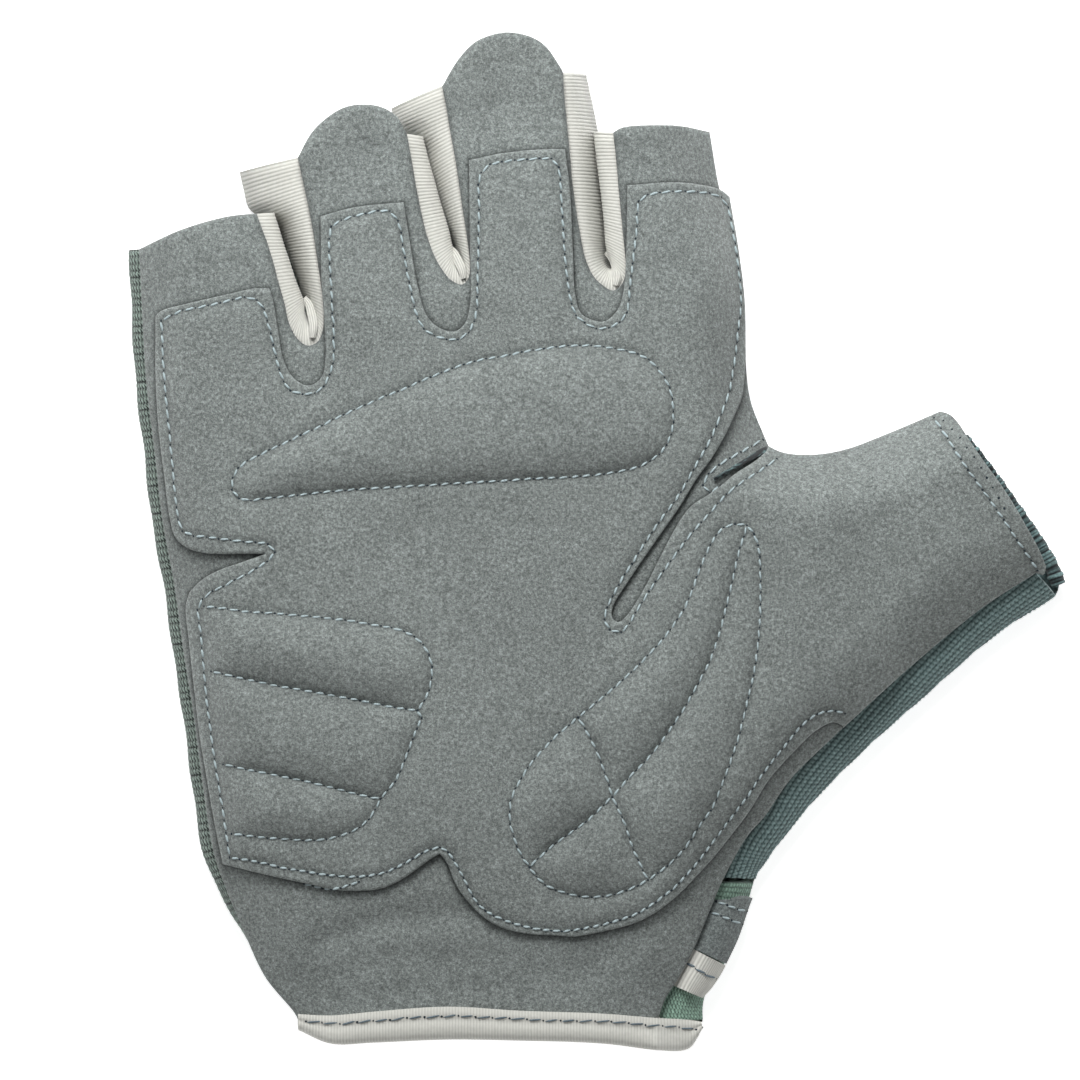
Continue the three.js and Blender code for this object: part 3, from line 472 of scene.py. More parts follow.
def sway(points):
    """Slow, faint unevenness of cloth"""
    total = np.zeros(len(points))
    for phase, turn, length in zip(phases, turns, wave_lengths):
        along = points[:, 0] * math.cos(turn) + points[:, 1] * math.sin(turn)
        total += np.sin(along * 2 * np.pi / length + phase) * length / LONG_WAVE
    return total * SWAY


def above_wrist(points):
    return points[:, 1] + (WRIST_V - FRAME_V) * PIXEL


def crown(points):
    """Height of the outer face away from its seams"""
    across = points[:, 0] + (FRAME_U - PALM_LEFT_U) * PIXEL
    up = above_wrist(points)
    hand = mix(WRIST_HEIGHT, PALM_HEIGHT, ease(up / (WRIST_RISE * PALM_LENGTH)))
    fingers = mix(hand, FINGER_HEIGHT, ease((up - PALM_LENGTH) / FINGER_LENGTH))
    return mix(fingers, THUMB_HEIGHT, ease((across - PALM_WIDTH) / THUMB_REACH))


def palm_form(points):
    """Outer face of the base sheet without its small rolls"""
    distance, index, _ = near(points, palm_seam_pieces)
    distance = np.where(inside(points, hand_region), distance, -distance)
    height = seam_heights[index]
    face = height + (crown(points) - height) * round_off(distance / SHOULDER)
    for pieces, depth, width in fold_lines:
        face = face + depth * fade(points, pieces, width) * ease(distance / FOLD_GROWTH)
    return face + sway(points) * ease(distance / SWAY_GROWTH)


def palm_face(points):
    """Outer face of the base sheet, rolled down at the tapes and at the hems"""
    face = palm_form(points)
    for edges, (depth, width) in ((finger_edges, FINGER_ROLL), (hem_edges, HEM_ROUND)):
        face = face - depth * (1 - round_off(near(points, edges)[0] / width))
    return face


def slope_of(face, points, step=0.4):
    """How much taller a thickness square to the face is when it is measured upright"""
    right = face(points + [step, 0]) - face(points - [step, 0])
    up = face(points + [0, step]) - face(points - [0, step])
    return np.sqrt(1 + (right / (2 * step)) ** 2 + (up / (2 * step)) ** 2)


def palm_under(points):
    return palm_face(points) - SUEDE * slope_of(palm_face, points)


def back_under(points):
    distance = near(points, back_seam_pieces)[0]
    lift = BACK_LIFT * (1 - round_off(distance / BACK_ROUND))
    return lift + (TAPE + CLEARANCE) * (1 - ease((above_wrist(points) - BINDING_DEPTH - 1) / BACK_DROP))


def back_face(points):
    return back_under(points) + KNIT


# Stitch lines as polylines

cell_lines = [HEEL[key] for key in ("top", "middle", "bottom", "quilt_high", "quilt_low")]
pad_lines = lines_of([*KNUCKLE, *cell_lines, *THUMB_PAD.values()])
pad_edge_lines = lines_of([*KNUCKLE, *HEEL.values(), *THUMB_PAD.values()])
overlay_lines = lines_of([PERIMETER_STITCH, *LEFT_STITCH, *LOWER_STITCH, *HEM_STITCH])
pad_outlines = [
    trace(KNUCKLE),
    trace([HEEL[key] for key in ("top", "middle", "bottom", "left_low", "left_middle", "left_high")]),
    trace([THUMB_PAD[key] for key in ("upper_left", "lower_left", "bottom", "right")]),
]
pad_pieces = segments([even_steps(points, FIELD_STEP) for points in pad_edge_lines])
groove_pieces = segments([even_steps(points, FIELD_STEP) for points in pad_lines + overlay_lines])


def alone(points):
    """1 where the overlay has no base sheet under it"""
    distance = near(points, hidden_seam)[0]
    outside = ~inside(points, hidden_side)
    return np.where(outside, ease((distance - PAST_SEAM) / SEAM_CHANGE), 0)


def edges_of(triangles):
    return np.vstack([triangles[:, [0, 1]], triangles[:, [1, 2]], triangles[:, [2, 0]]])


def pad_rise(points, triangles=None):
    """How far the foam lifts the overlay, with the ridges of its cells smoothed away"""
    distance = near(points, pad_pieces)[0]
    padded = np.zeros(len(points), bool)
    for outline in pad_outlines:
        padded |= inside(points, outline)
    rise = np.where(padded, FOAM_RISE * round_off(distance / FOAM_ROUND), 0)
    if triangles is None:
        return rise
    edges = edges_of(triangles)
    both = np.vstack([edges, edges[:, ::-1]])
    weight = np.bincount(both[:, 0], minlength=len(points))
    free = padded & (distance > 0.1)
    for _ in range(SMOOTHING_ROUNDS):
        mean = np.bincount(both[:, 0], rise[both[:, 1]], minlength=len(points)) / np.maximum(weight, 1)
        rise = np.where(free, mean, rise)
    return rise


def groove(points):
    depth, width = STITCH_GROOVE
    return depth * fade(points, groove_pieces, width)


def overlay_top(points, triangles=None):
    slope = slope_of(palm_face, points)
    bare = alone(points)
    gap, width = EDGE_SETTLE
    settle = (LAYER_GAP - gap) * (1 - ease(near(points, overlay_edge_pieces)[0] / width)) * (1 - bare)
    lift = (LAYER_GAP + SUEDE - bare * (LAYER_GAP + SUEDE)) * slope
    return palm_face(points) + lift - settle + pad_rise(points, triangles) - groove(points) * (1 - 0.5 * bare)


# Materials


class Shades:
    """Node tree of one material, with short calls for the nodes in use"""

    def __init__(self, name, roughness, sheen=0.0):
        self.material = bpy.data.materials.new(name)
        self.material.use_nodes = True
        self.tree = self.material.node_tree
        self.shader = self.tree.nodes["Principled BSDF"]
        self.shader.inputs["Roughness"].default_value = roughness
        self.shader.inputs["Specular IOR Level"].default_value = 0.25
        if sheen:
            self.shader.inputs["Sheen Weight"].default_value = sheen
            self.shader.inputs["Sheen Roughness"].default_value = 0.6
        self.place = self.tree.nodes.new("ShaderNodeTexCoord").outputs["Object"]

    def link(self, output, target):
        self.tree.links.new(output, target)

    def noise(self, size, detail, roughness):
        """Noise with grains of about this many millimetres"""
        scale = self.tree.nodes.new("ShaderNodeMapping")
        scale.inputs["Scale"].default_value = [1 / (size * METRE)] * 3
        self.link(self.place, scale.inputs["Vector"])
        node = self.tree.nodes.new("ShaderNodeTexNoise")
        node.inputs["Scale"].default_value = 1
        node.inputs["Detail"].default_value = detail
        node.inputs["Roughness"].default_value = roughness
        self.link(scale.outputs[0], node.inputs["Vector"])
        return node.outputs[0]

    def value(self, name):
        node = self.tree.nodes.new("ShaderNodeAttribute")
        node.attribute_name = name
        return node.outputs["Fac"]

    def ramp(self, factor, *stops):
        node = self.tree.nodes.new("ShaderNodeValToRGB")
        elements = node.color_ramp.elements
        while len(elements) < len(stops):
            elements.new(0.5)
        for element, (place, colour) in zip(elements, stops):
            element.position = place
            element.color = (*colour, 1)
        self.link(factor, node.inputs[0])
        return node.outputs[0]

    def multiply(self, first, second):
        node = self.tree.nodes.new("ShaderNodeMix")
        node.data_type = "RGBA"
        node.blend_type = "MULTIPLY"
        node.inputs[0].default_value = 1
        self.link(first, node.inputs[6])
        self.link(second, node.inputs[7])
        return node.outputs[2]

    def finish(self, colour, relief, height):
        self.link(colour, self.shader.inputs["Base Color"])
        bump = self.tree.nodes.new("ShaderNodeBump")
        bump.inputs["Strength"].default_value = 1
        bump.inputs["Distance"].default_value = height * METRE
        self.link(relief, bump.inputs["Height"])
        self.link(bump.outputs[0], self.shader.inputs["Normal"])
        return self.material


def linear(red, green, blue, factor=1.0):
    """Scene colour from 8-bit screen values"""
    return tuple(factor * ((part / 255 + 0.055) / 1.055) ** 2.4 for part in (red, green, blue))


def grey(value):
    return (value, value, value)


def suede_material(name, base):
    """Brushed suede: fine light and dark fibres, soft patches, and painted light and shade from 0, a painted
    highlight, to 1, painted shade
    """
    shades = Shades(name, 0.95, sheen=0.15)
    fibre = shades.noise(0.22, 2.0, 0.7)
    grain = shades.noise(0.55, 3.0, 0.75)
    pile = shades.noise(2.4, 2.0, 0.5)
    cloud = shades.noise(16, 2.0, 0.5)
    speckle = shades.ramp(grain, (0.3, linear(*base, 0.5)), (0.5, linear(*base, 0.97)),
                          (0.7, linear(*base, 1.6)))
    colour = shades.multiply(speckle, shades.ramp(fibre, (0.32, grey(0.62)), (0.68, grey(1.38))))
    colour = shades.multiply(colour, shades.ramp(pile, (0.3, grey(0.93)), (0.7, grey(1.07))))
    colour = shades.multiply(colour, shades.ramp(cloud, (0.3, grey(0.93)), (0.7, grey(1.06))))
    # Colour lightened for a painted highlight and darkened for painted shade, by the attribute
    painted_shading = shades.ramp(shades.value("painted_shading"), (0, grey(1.16)), (PLAIN, grey(1)), (1, grey(0.42)))
    return shades.finish(shades.multiply(colour, painted_shading), grain, 0.1)


def woven_material(name, low, high, grain_size, spread, roughness=0.9, relief=0.06, gap=0.0, full=1.0):
    """Cloth whose threads are in the mesh: the attribute shade runs from 0 in the gaps to 1 on the thread; on
    the tapes it is also lowered as painted shade towards their fold
    """
    shades = Shades(name, roughness, 0.2)
    body = shades.ramp(shades.value("shade"), (gap, linear(*low)), (full, linear(*high)))
    grain = shades.noise(grain_size, 3.0, 0.6)
    tone = shades.ramp(grain, (0.3, grey(1 - spread)), (0.7, grey(1 + spread)))
    return shades.finish(shades.multiply(body, tone), grain, relief)


def plain_material(name, base, grain_size, spread, roughness=0.9, relief=0.04):
    shades = Shades(name, roughness)
    grain = shades.noise(grain_size, 2.0, 0.6)
    colour = shades.ramp(grain, (0.3, linear(*base, 1 - spread)), (0.7, linear(*base, 1 + spread)))
    return shades.finish(colour, grain, relief)


suede_base = suede_material("suede_base", (117, 123, 121))
suede_overlay = suede_material("suede_overlay", (118, 124, 122))
# The cut edges' suede: the raw edge's colour, darkened further as painted shade along the cut edges
suede_cut_shade = suede_material("suede_cut_shade", (70, 77, 77))
suede_tab = suede_material("suede_tab", (108, 115, 114))
ribbed_tape = woven_material("ribbed_tape", (152, 151, 145), (206, 206, 199), 0.7, 0.05, 0.7, 0.02)
green_knit = woven_material("green_knit", (14, 20, 19), (142, 158, 149), 0.4, 0.45, gap=0.35, full=0.85)
sage_knit = woven_material("sage_knit", (44, 62, 55), (150, 182, 164), 0.4, 0.4, gap=0.1, full=0.95)
terry = woven_material("terry_cloth", (50, 70, 70), (142, 166, 165), 0.5, 0.35, gap=0.05, full=0.85)
dark_mesh = woven_material("mesh_cloth", (14, 20, 24), (110, 136, 136), 0.6, 0.5, gap=0.25, full=0.9)
foam = plain_material("foam", (200, 202, 196), 0.5, 0.15)
thread = plain_material("thread", (166, 181, 184), 0.3, 0.15, 0.7)
dark_thread = plain_material("dark_thread", (98, 112, 120), 0.3, 0.2, 0.7)
# Dark dots painted as the shade inside needle holes
needle_hole_shade = plain_material("needle_hole_shade", (44, 52, 58), 0.2, 0.3, 1.0)
floor_material = plain_material("floor", (250, 250, 250), 40, 0.004, 0.9, 0.001)
floor_shader = floor_material.node_tree.nodes["Principled BSDF"]
floor_shader.inputs["Emission Color"].default_value = (1, 1, 1, 1)
floor_shader.inputs["Emission Strength"].default_value = 0.7

# Meshes


def add_object(name, data):
    piece = bpy.data.objects.new(name, data)
    bpy.context.scene.collection.objects.link(piece)
    return piece


def new_object(name, vertices, faces, materials, smooth_angle=55):
    """A mesh from places in millimetres, smooth except where its faces meet more sharply than the angle"""
    mesh = bpy.data.meshes.new(name)
    mesh.from_pydata((vertices * METRE).tolist(), [], faces)
    for entry in materials:
        mesh.materials.append(entry)
    mesh.polygons.foreach_set("use_smooth", np.ones(len(mesh.polygons), bool))
    if smooth_angle:
        mesh.set_sharp_from_angle(angle=math.radians(smooth_angle))
    return add_object(name, mesh)


def set_values(piece, name, values):
    layer = piece.data.attributes.new(name, "FLOAT", "POINT")
    layer.data.foreach_set("value", np.asarray(values, np.float32))


def settle_piece(piece, slot, *nodes):
    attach(piece, "root")
    if nodes:
        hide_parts(*nodes)
    return piece


def hex_grid(low, high, step):
    rows = np.arange(low[1], high[1], step * 0.866)
    columns = np.arange(low[0], high[0] + step, step)
    x, y = np.meshgrid(columns, rows)
    x = x + (np.arange(len(rows)) % 2)[:, None] * step / 2
    return np.stack([x.ravel(), y.ravel()], axis=1)


def side_rows(lines, offsets):
    """Points beside lines, at these distances on both sides"""
    rows = []
    for points in lines:
        across = left_of(points)
        rows += [points + offset * across for offset in offsets]
    return np.vstack(rows)


def thin_out(points, size):
    """One point for each square of this size"""
    cells = np.round(points / size).astype(int)
    _, first = np.unique(cells, axis=0, return_index=True)
    return points[np.sort(first)]


def delaunay(points, rings=(), inner=0):
    """Triangles between points, of the whole hull or only inside rings of them"""
    coords, _, faces, *_ = delaunay_2d_cdt([Vector(point) for point in points.tolist()], [], list(rings),
                                           inner, 1e-5)
    return np.array([tuple(point) for point in coords]), np.array([tuple(face) for face in faces])


def triangulate(outline, lines=(), grid=GRID, beside=(0, 0.45, -0.45, 1.0, -1.0)):
    """Triangles inside an outline, with close rows of points along its edge and beside lines"""
    closed = np.vstack([outline, outline[:1]])
    edge_pieces = segments([closed])
    points = hex_grid(outline.min(0), outline.max(0), grid)
    points = points[near(points, edge_pieces)[0] > INSETS[-1] + 0.35 * grid]
    if len(lines):
        rows = thin_out(side_rows(lines, beside), 0.3)
        rows = rows[near(rows, edge_pieces)[0] > INSETS[-1] + 0.25]
        coarse = segments([even_steps(row, FIELD_STEP) for row in lines])
        points = points[near(points, coarse)[0] > max(beside) + 0.4 * grid]
        points = np.vstack([rows, points])
    rims = side_rows([closed], INSETS + tuple(-part for part in INSETS))
    distance = near(rims, edge_pieces)[0]
    rims = rims[distance > 0.9 * INSETS[0]]
    points = np.vstack([thin_out(rims, 0.2), points])
    points = points[inside(points, outline)]
    return delaunay(np.vstack([outline, points]), [list(range(len(outline)))], 1)


def boundary_edges(triangles):
    edges = edges_of(triangles)
    key = np.sort(edges, axis=1)
    _, index, count = np.unique(key, axis=0, return_index=True, return_counts=True)
    return edges[index[count == 1]]


def closed_sheet(name, points, triangles, high, low, materials):
    """A closed mesh between two heights over the same triangles, with its rim's faces last"""
    border = boundary_edges(triangles)
    count = len(points)
    vertices = np.vstack([np.column_stack([points, high]), np.column_stack([points, low])])
    walls = np.column_stack([border[:, 0], border[:, 0] + count, border[:, 1] + count, border[:, 1]])
    faces = triangles.tolist() + (triangles[:, ::-1] + count).tolist() + walls.tolist()
    return new_object(name, vertices, faces, materials)


def sheet_piece(name, outline, top, under, materials, lines=(), grid=GRID, rim=0.25):
    """A sheet between two heights, its upper rim slightly rounded. A second material is its cut edge's."""
    points, triangles = triangulate(outline, lines, grid)
    high = top(points, triangles)
    low = under(points, high)
    high[np.unique(boundary_edges(triangles))] -= rim
    piece = closed_sheet(name, points, triangles, high, low, materials)
    if len(materials) > 1:
        index = np.zeros(len(piece.data.polygons), np.int32)
        index[2 * len(triangles):] = 1
        piece.data.polygons.foreach_set("material_index", index)
    return piece, points


def grid_normals(surface):
    along = np.gradient(surface, axis=0)
    across = np.gradient(surface, axis=1)
    normals = np.cross(along, across)
    return normals / np.maximum(np.linalg.norm(normals, axis=2, keepdims=True), 1e-9)


def swept(centre, side, across, height):
    """Grid of points whose sections lie across a line by these amounts, at these heights"""
    surface = np.empty((*across.shape, 3))
    surface[..., :2] = centre[:, None] + side[:, None] * across[..., None]
    surface[..., 2] = height
    return surface


def arc_width(surface):
    """Mean length of a grid's sections"""
    return np.linalg.norm(np.diff(surface, axis=1), axis=2).sum(1).mean()


def band_faces(rows, across):
    """Faces of both sides and of the rim of a closed band over a grid of points"""
    index = np.arange(rows * across).reshape(rows, across)
    shift = rows * across

    def quads(a, b, c, d):
        return np.stack([a.ravel(), b.ravel(), c.ravel(), d.ravel()], axis=1)

    outer = quads(index[:-1, :-1], index[1:, :-1], index[1:, 1:], index[:-1, 1:])
    inner = outer[:, ::-1] + shift
    loop = np.concatenate([index[:, 0], index[-1, 1:], index[-2::-1, -1], index[0, -2:0:-1]])
    ahead = np.roll(loop, -1)
    rim = np.stack([ahead, loop, loop + shift, ahead + shift], axis=1)
    return np.vstack([outer, inner, rim])


def shell(name, surface, thickness, relief, material, shade, facing=(0, 0, 1)):
    """A closed band of cloth over a grid of points, with relief on the side that faces the given way"""
    normals = grid_normals(surface)
    turned = (normals * np.asarray(facing)).sum() < 0
    if turned:
        surface = surface[:, ::-1]
        normals = -normals[:, ::-1]
        relief = relief[:, ::-1]
        shade = shade[:, ::-1]
    outer = surface + normals * relief[..., None]
    inner = surface - normals * thickness
    vertices = np.vstack([outer.reshape(-1, 3), inner.reshape(-1, 3)])
    faces = band_faces(*surface.shape[:2])
    piece = new_object(name, vertices, faces.tolist(), [material], 75)
    set_values(piece, "shade", np.concatenate([shade.ravel(), np.full(shade.size, 0.6)]))
    return piece


def ribs(length, pitch, jitter=0.0):
    """Height from 0 in a groove to 1 on a rib, along a line"""
    drift = np.cumsum(rng.normal(0, jitter, len(length))) if jitter else 0
    return np.abs(np.sin(np.pi * (length / pitch + drift))) ** 0.6


# Stitches

# How far a stitch turns across its line
SLANT = 0.16


def tube_template(rings=7, sides=6, tip=0.12):
    """One stitch along X from -0.5 to 0.5, of unit radius, narrow and pulled down at its ends"""
    vertices = []
    for place in np.linspace(-0.5, 0.5, rings):
        width = max(tip, math.cos(math.pi * place) ** 0.35) if abs(place) < 0.49 else tip
        drop = -1.5 * (2 * place) ** 4
        for side in range(sides):
            angle = 2 * math.pi * side / sides
            vertices.append((place, width * math.cos(angle), width * math.sin(angle) + drop))
    faces = []
    for ring in range(rings - 1):
        for side in range(sides):
            low = ring * sides + side
            high = ring * sides + (side + 1) % sides
            faces.append((low, high, high + sides, low + sides))
    faces.append(tuple(range(sides))[::-1])
    faces.append(tuple(range((rings - 1) * sides, rings * sides)))
    return np.array(vertices), faces


def dot_template(sides=8):
    """The painted shade of one needle hole: a low dot of unit radius with its foot under the surface"""
    vertices = [(0, 0, 0.35), (0, 0, -1)]
    for radius, height in ((0.75, 0.25), (1, 0), (0.7, -0.7)):
        for side in range(sides):
            angle = 2 * math.pi * side / sides
            vertices.append((radius * math.cos(angle), radius * math.sin(angle), height))
    faces = []
    for side in range(sides):
        top, middle, low = (2 + ring * sides + side for ring in range(3))
        next_top, next_middle, next_low = (2 + ring * sides + (side + 1) % sides for ring in range(3))
        faces += [(0, top, next_top), (top, middle, next_middle, next_top),
                  (middle, low, next_low, next_middle), (1, next_low, low)]
    return np.array(vertices), faces


def copies(name, template, frames, material):
    """One mesh with a copy of the template in each frame: origin, then X, Y and Z axes with their lengths"""
    vertices, faces = template
    origin, axes = frames[:, 0], frames[:, 1:]
    placed = origin[:, None] + np.einsum("vk,nkc->nvc", vertices, axes)
    moved = []
    for i in range(len(frames)):
        moved += [tuple(entry + i * len(vertices) for entry in face) for face in faces]
    return new_object(name, placed.reshape(-1, 3), moved, [material], 0)


def height_finder(*pieces):
    """A function that gives the height of the topmost of these pieces at each point"""
    trees = []
    for piece in pieces:
        mesh = piece.data
        corners = [vertex.co.copy() for vertex in mesh.vertices]
        trees.append(BVHTree.FromPolygons(corners, [tuple(face.vertices) for face in mesh.polygons]))

    def heights(points):
        found = []
        for x, y in points * METRE:
            hits = [tree.ray_cast(Vector((x, y, 0.1)), Vector((0, 0, -1)))[0] for tree in trees]
            tops = [hit.z for hit in hits if hit is not None]
            found.append(max(tops) / METRE if tops else np.nan)
        return np.array(found)

    return heights


def stitch_rows(name, lines, heights, pitch=2.05, dash=1.6, radius=0.19, hole=0.2, yarn=thread):
    """Threads, and dots of painted shade for their needle holes, along lines of points, lying on a surface"""
    threads = []
    hole_shades = []
    for points in lines:
        count = max(1, round(run_length(points)[-1] / pitch))
        places = even_steps(points, pitch, 2 * count)
        knots = places[0::2] + rng.normal(0, 0.05, places[0::2].shape)
        level = heights(knots)
        for i in range(count):
            start = np.array([*knots[i], level[i]])
            end = np.array([*knots[i + 1], level[i + 1]])
            if not np.isfinite(start[2] + end[2]):
                continue
            middle = (start + end) / 2
            top = heights(middle[None, :2])[0]
            if not np.isfinite(top):
                continue
            middle[2] = top + 0.55 * radius
            along = (end - start) / np.linalg.norm(end - start)
            along = along + SLANT * np.cross([0, 0, 1], along) + [0, 0, rng.normal(0, 0.02)]
            along /= np.linalg.norm(along)
            side = np.cross([0, 0, 1], along)
            side /= np.linalg.norm(side)
            width = radius * rng.uniform(0.9, 1.1)
            length = dash * rng.uniform(0.92, 1.08) * np.linalg.norm(end - start) / pitch
            threads.append([middle, along * length, side * width, np.cross(along, side) * width])
        for knot, z in zip(knots, level):
            if np.isfinite(z):
                size = hole * rng.uniform(0.8, 1.15)
                hole_shades.append([[*knot, z + 0.02], [size, 0, 0], [0, size, 0], [0, 0, 0.12]])
    pieces = []
    if dash:
        pieces.append(copies(name, tube_template(), np.array(threads), yarn))
    pieces.append(copies(name + "_holes", dot_template(), np.array(hole_shades), needle_hole_shade))
    for piece in pieces:
        settle_piece(piece, "tape")


# Camera, light and floor

# Height of the camera above the middle of the glove, and the middle's own height
DISTANCE = 2475
FOCUS_HEIGHT = 10
camera_data = bpy.data.cameras.new("camera")
camera_data.sensor_width = 36
camera_data.lens = camera_data.sensor_width * DISTANCE / (VIEW_SIDE * PIXEL)
camera_data.clip_end = 20
camera = add_object("camera", camera_data)
aim = millimetres([(VIEW_SIDE / 2, VIEW_SIDE / 2)])[0]
camera.location = (*(aim * METRE), (DISTANCE + FOCUS_HEIGHT) * METRE)
bpy.context.scene.camera = camera
bpy.context.scene.view_settings.view_transform = "Standard"


def area_light(name, location, size, power):
    data = bpy.data.lights.new(name, "AREA")
    data.shape = "DISK"
    data.size = size
    data.energy = power
    light = add_object(name, data)
    light.location = location
    light.rotation_euler = (-Vector(location)).to_track_quat("-Z", "Y").to_euler()


area_light("key", (-0.06, 0.36, 0.36), 0.3, 3.05)
area_light("fill_left", (-1.2, 0.1, 1.0), 1.0, 2)
area_light("fill_low", (0.5, -0.9, 1.1), 1.0, 1)
world = bpy.data.worlds.new("studio")
world.use_nodes = True
background = world.node_tree.nodes["Background"]
background.inputs[0].default_value = (1, 1, 1, 1)
background.inputs[1].default_value = 0.3
bpy.context.scene.world = world

FLOOR = 4.0
floor_mesh = bpy.data.meshes.new("floor")
floor_mesh.from_pydata([(-FLOOR, -FLOOR, 0), (FLOOR, -FLOOR, 0), (FLOOR, FLOOR, 0), (-FLOOR, FLOOR, 0)], [],
                       [(0, 1, 2, 3)])
floor_mesh.materials.append(floor_material)
floor = add_object("floor", floor_mesh)
floor.location.z = -0.00005

# Base sheet and overlay

lower_rows = lower_edge[3:]
palm_outline = trace([LITTLE_SIDE[::-1], LITTLE_HEM, tape_edges[0], RING_HEM, tape_edges[1], MIDDLE_HEM,
                      tape_edges[2], INDEX_HEM, INDEX_SIDE, HIDDEN_EDGE, lower_rows,
                      [lower_rows[-1], LITTLE_SIDE[-1]]])
overlay_outline = trace(OVERLAY_EDGE + [THUMB_TOP, THUMB_HEM, HEM_CORNER, lower_edge[:4],
                                        [(843, 728), (843, 726)]] + SCALLOP + NOTCH)
cut_edge = OVERLAY_EDGE + SCALLOP + NOTCH
overlay_edge_pieces = segments(lines_of(cut_edge, EDGE_STEP))


def suede_under(points, high):
    return high - SUEDE * slope_of(palm_face, points)


base, base_points = sheet_piece("palm_base", palm_outline, lambda points, _: palm_face(points), suede_under,
                                [suede_base, suede_cut_shade], lines_of(cut_edge))
settle_piece(base, "suede", "palm_panel")

overlay, overlay_points = sheet_piece("palm_overlay_suede", overlay_outline, overlay_top, suede_under,
                                      [suede_overlay, suede_cut_shade], pad_lines + overlay_lines)
settle_piece(overlay, "suede", "palm_overlay")

# Painted shade along the overlay's stitch grooves, and a painted highlight along its cut edge
overlay_painted_shading = PLAIN + 0.32 * fade(overlay_points, groove_pieces, 0.5)
overlay_painted_shading -= 0.8 * PLAIN * fade(overlay_points, overlay_edge_pieces, 0.5)
# Painted shade on the base sheet under the overlay's cut edge and beside the tapes' sewn edges
base_painted_shade = PLAIN + 0.75 * fade(base_points, overlay_edge_pieces, 0.4)
base_painted_shade += 0.35 * fade(base_points, finger_edges, 0.5)
for piece, painted_shading in ((base, base_painted_shade), (overlay, overlay_painted_shading)):
    set_values(piece, "painted_shading", np.concatenate([painted_shading, painted_shading]))

# Foam under the overlay


def foam_piece(name, cell):
    """The padding of one cell, crowned and clear of the stitches round it"""
    least, foot_share, crown_share = 0.15, 0.35, 0.5
    outline = trace(cell, 1.0)
    edge = segments([np.vstack([outline, outline[:1]])])
    points = hex_grid(outline.min(0), outline.max(0), FOAM_GRID)
    points = points[inside(points, outline)]
    points = points[near(points, edge)[0] > CHANNEL - 0.3]
    points, triangles = delaunay(points)
    middle = points[triangles].mean(1)
    triangles = triangles[inside(middle, outline) & (near(middle, edge)[0] > CHANNEL - 0.2)]
    spans = np.linalg.norm(points[triangles] - points[np.roll(triangles, 1, axis=1)], axis=2).max(1)
    triangles = triangles[spans < 2 * FOAM_GRID]
    used, triangles = np.unique(triangles, return_inverse=True)
    triangles = triangles.reshape(-1, 3)
    points = points[used]
    rim = np.unique(boundary_edges(triangles))
    distance, _, foot = near(points[rim], edge)
    points[rim] = foot + (points[rim] - foot) * (CHANNEL / np.maximum(distance, 1e-6))[:, None]
    slope = slope_of(palm_face, points)
    low = palm_face(points) + CLEARANCE * slope
    room = LAYER_GAP * slope + pad_rise(points) - groove(points) - 2 * CLEARANCE
    swell = round_off((near(points, edge)[0] - CHANNEL) / 4)
    high = low + np.maximum(least, room * (foot_share + crown_share * swell))
    piece = closed_sheet(name + "_foam", points, triangles, high, low, [foam])
    settle_piece(piece, "foam", name)


for pad, cell in PAD_CELLS.items():
    foam_piece(pad, cell)

# Back of the hand and of the thumb

back_outline = trace(joined(LITTLE_SIDE[::-1], *tape_feet, INDEX_SIDE, out_edge[3:]), 1.0)
MESH_EDGE = [(941, 411), (957, 423), (979, 452), (1003, 483), (1022, 517), (1039, 541), (1054, 568),
             (1061, 586), (1057, 596)]
thumb_back_outline = trace(joined(THUMB_TOP, MESH_EDGE, out_edge[:4]), 1.0)



def back_piece(name, outline, material, slot, node, pitch=2.2):
    """A sheet that the glove lies on, woven in squares of light and dark"""
    piece, points = sheet_piece(name, outline, lambda points, _: back_face(points),
                                lambda points, _: back_under(points), [material], grid=COARSE_GRID)
    settle_piece(piece, slot, node)
    x, y = points.T * 2 * np.pi / pitch
    middle, swing = 0.55, 0.35
    tone = middle + swing * np.sin(x) * np.sin(y)
    set_values(piece, "shade", np.concatenate([tone, tone]))
    return piece


back = back_piece("back_knit", back_outline, green_knit, "green_knit", "back_panel")
thumb_back = back_piece("thumb_mesh", thumb_back_outline, dark_mesh, "mesh", "thumb_back")

# Ribbed tapes between the fingers


def paired_lines(rows, step):
    """Points of two lines that run together, at even steps of the first, with the table's other columns"""
    pairs = np.array(rows, float)
    places = np.column_stack([millimetres(pairs[:, :2]), millimetres(pairs[:, 2:4]), pairs[:, 4:]])
    steps = even_steps(dense_curve(places), step)
    return steps[:, :2], steps[:, 2:4], *steps[:, 4:].T


def tape_piece(name, rows, node):
    """A tape that lies nearly flat on its wide side and is rolled over the fold on its narrow side"""
    edge, foot, rolled = paired_lines(rows, RIB / 6)
    top = palm_under(edge) - CLEARANCE
    low = back_face(foot) + CLEARANCE + TAPE
    share = np.linspace(0, 1, TAPE_COLUMNS)[None]
    roll = ease(rolled[:, None])
    over_fold = 0.6
    turned = np.clip(share / over_fold, 0, 1)
    under = np.clip((share - over_fold) / (1 - over_fold), 0, 1)
    flat_drop = share ** 2.4
    rolled_out = 1.2 * np.sin(np.pi / 2 * turned) - 0.2 * under
    rolled_drop = 0.26 * (1 - np.cos(np.pi / 2 * turned)) + 0.74 * under
    drop = mix(flat_drop, rolled_drop, roll)
    height = top[:, None] + (low - top)[:, None] * drop
    surface = swept(edge, foot - edge, mix(share, rolled_out, roll), height)
    rib = ribs(run_length(edge), RIB, 0.004)[:, None] * np.ones(share.shape)
    # The ribs' shade, darkened further where the tape drops towards its fold: painted shade
    shade = rib * (1 - 0.45 * ease((drop - 0.35) / 0.5))
    piece = shell(name, surface, 0.7, 0.1 * rib, ribbed_tape, shade)
    settle_piece(piece, "tape", node)


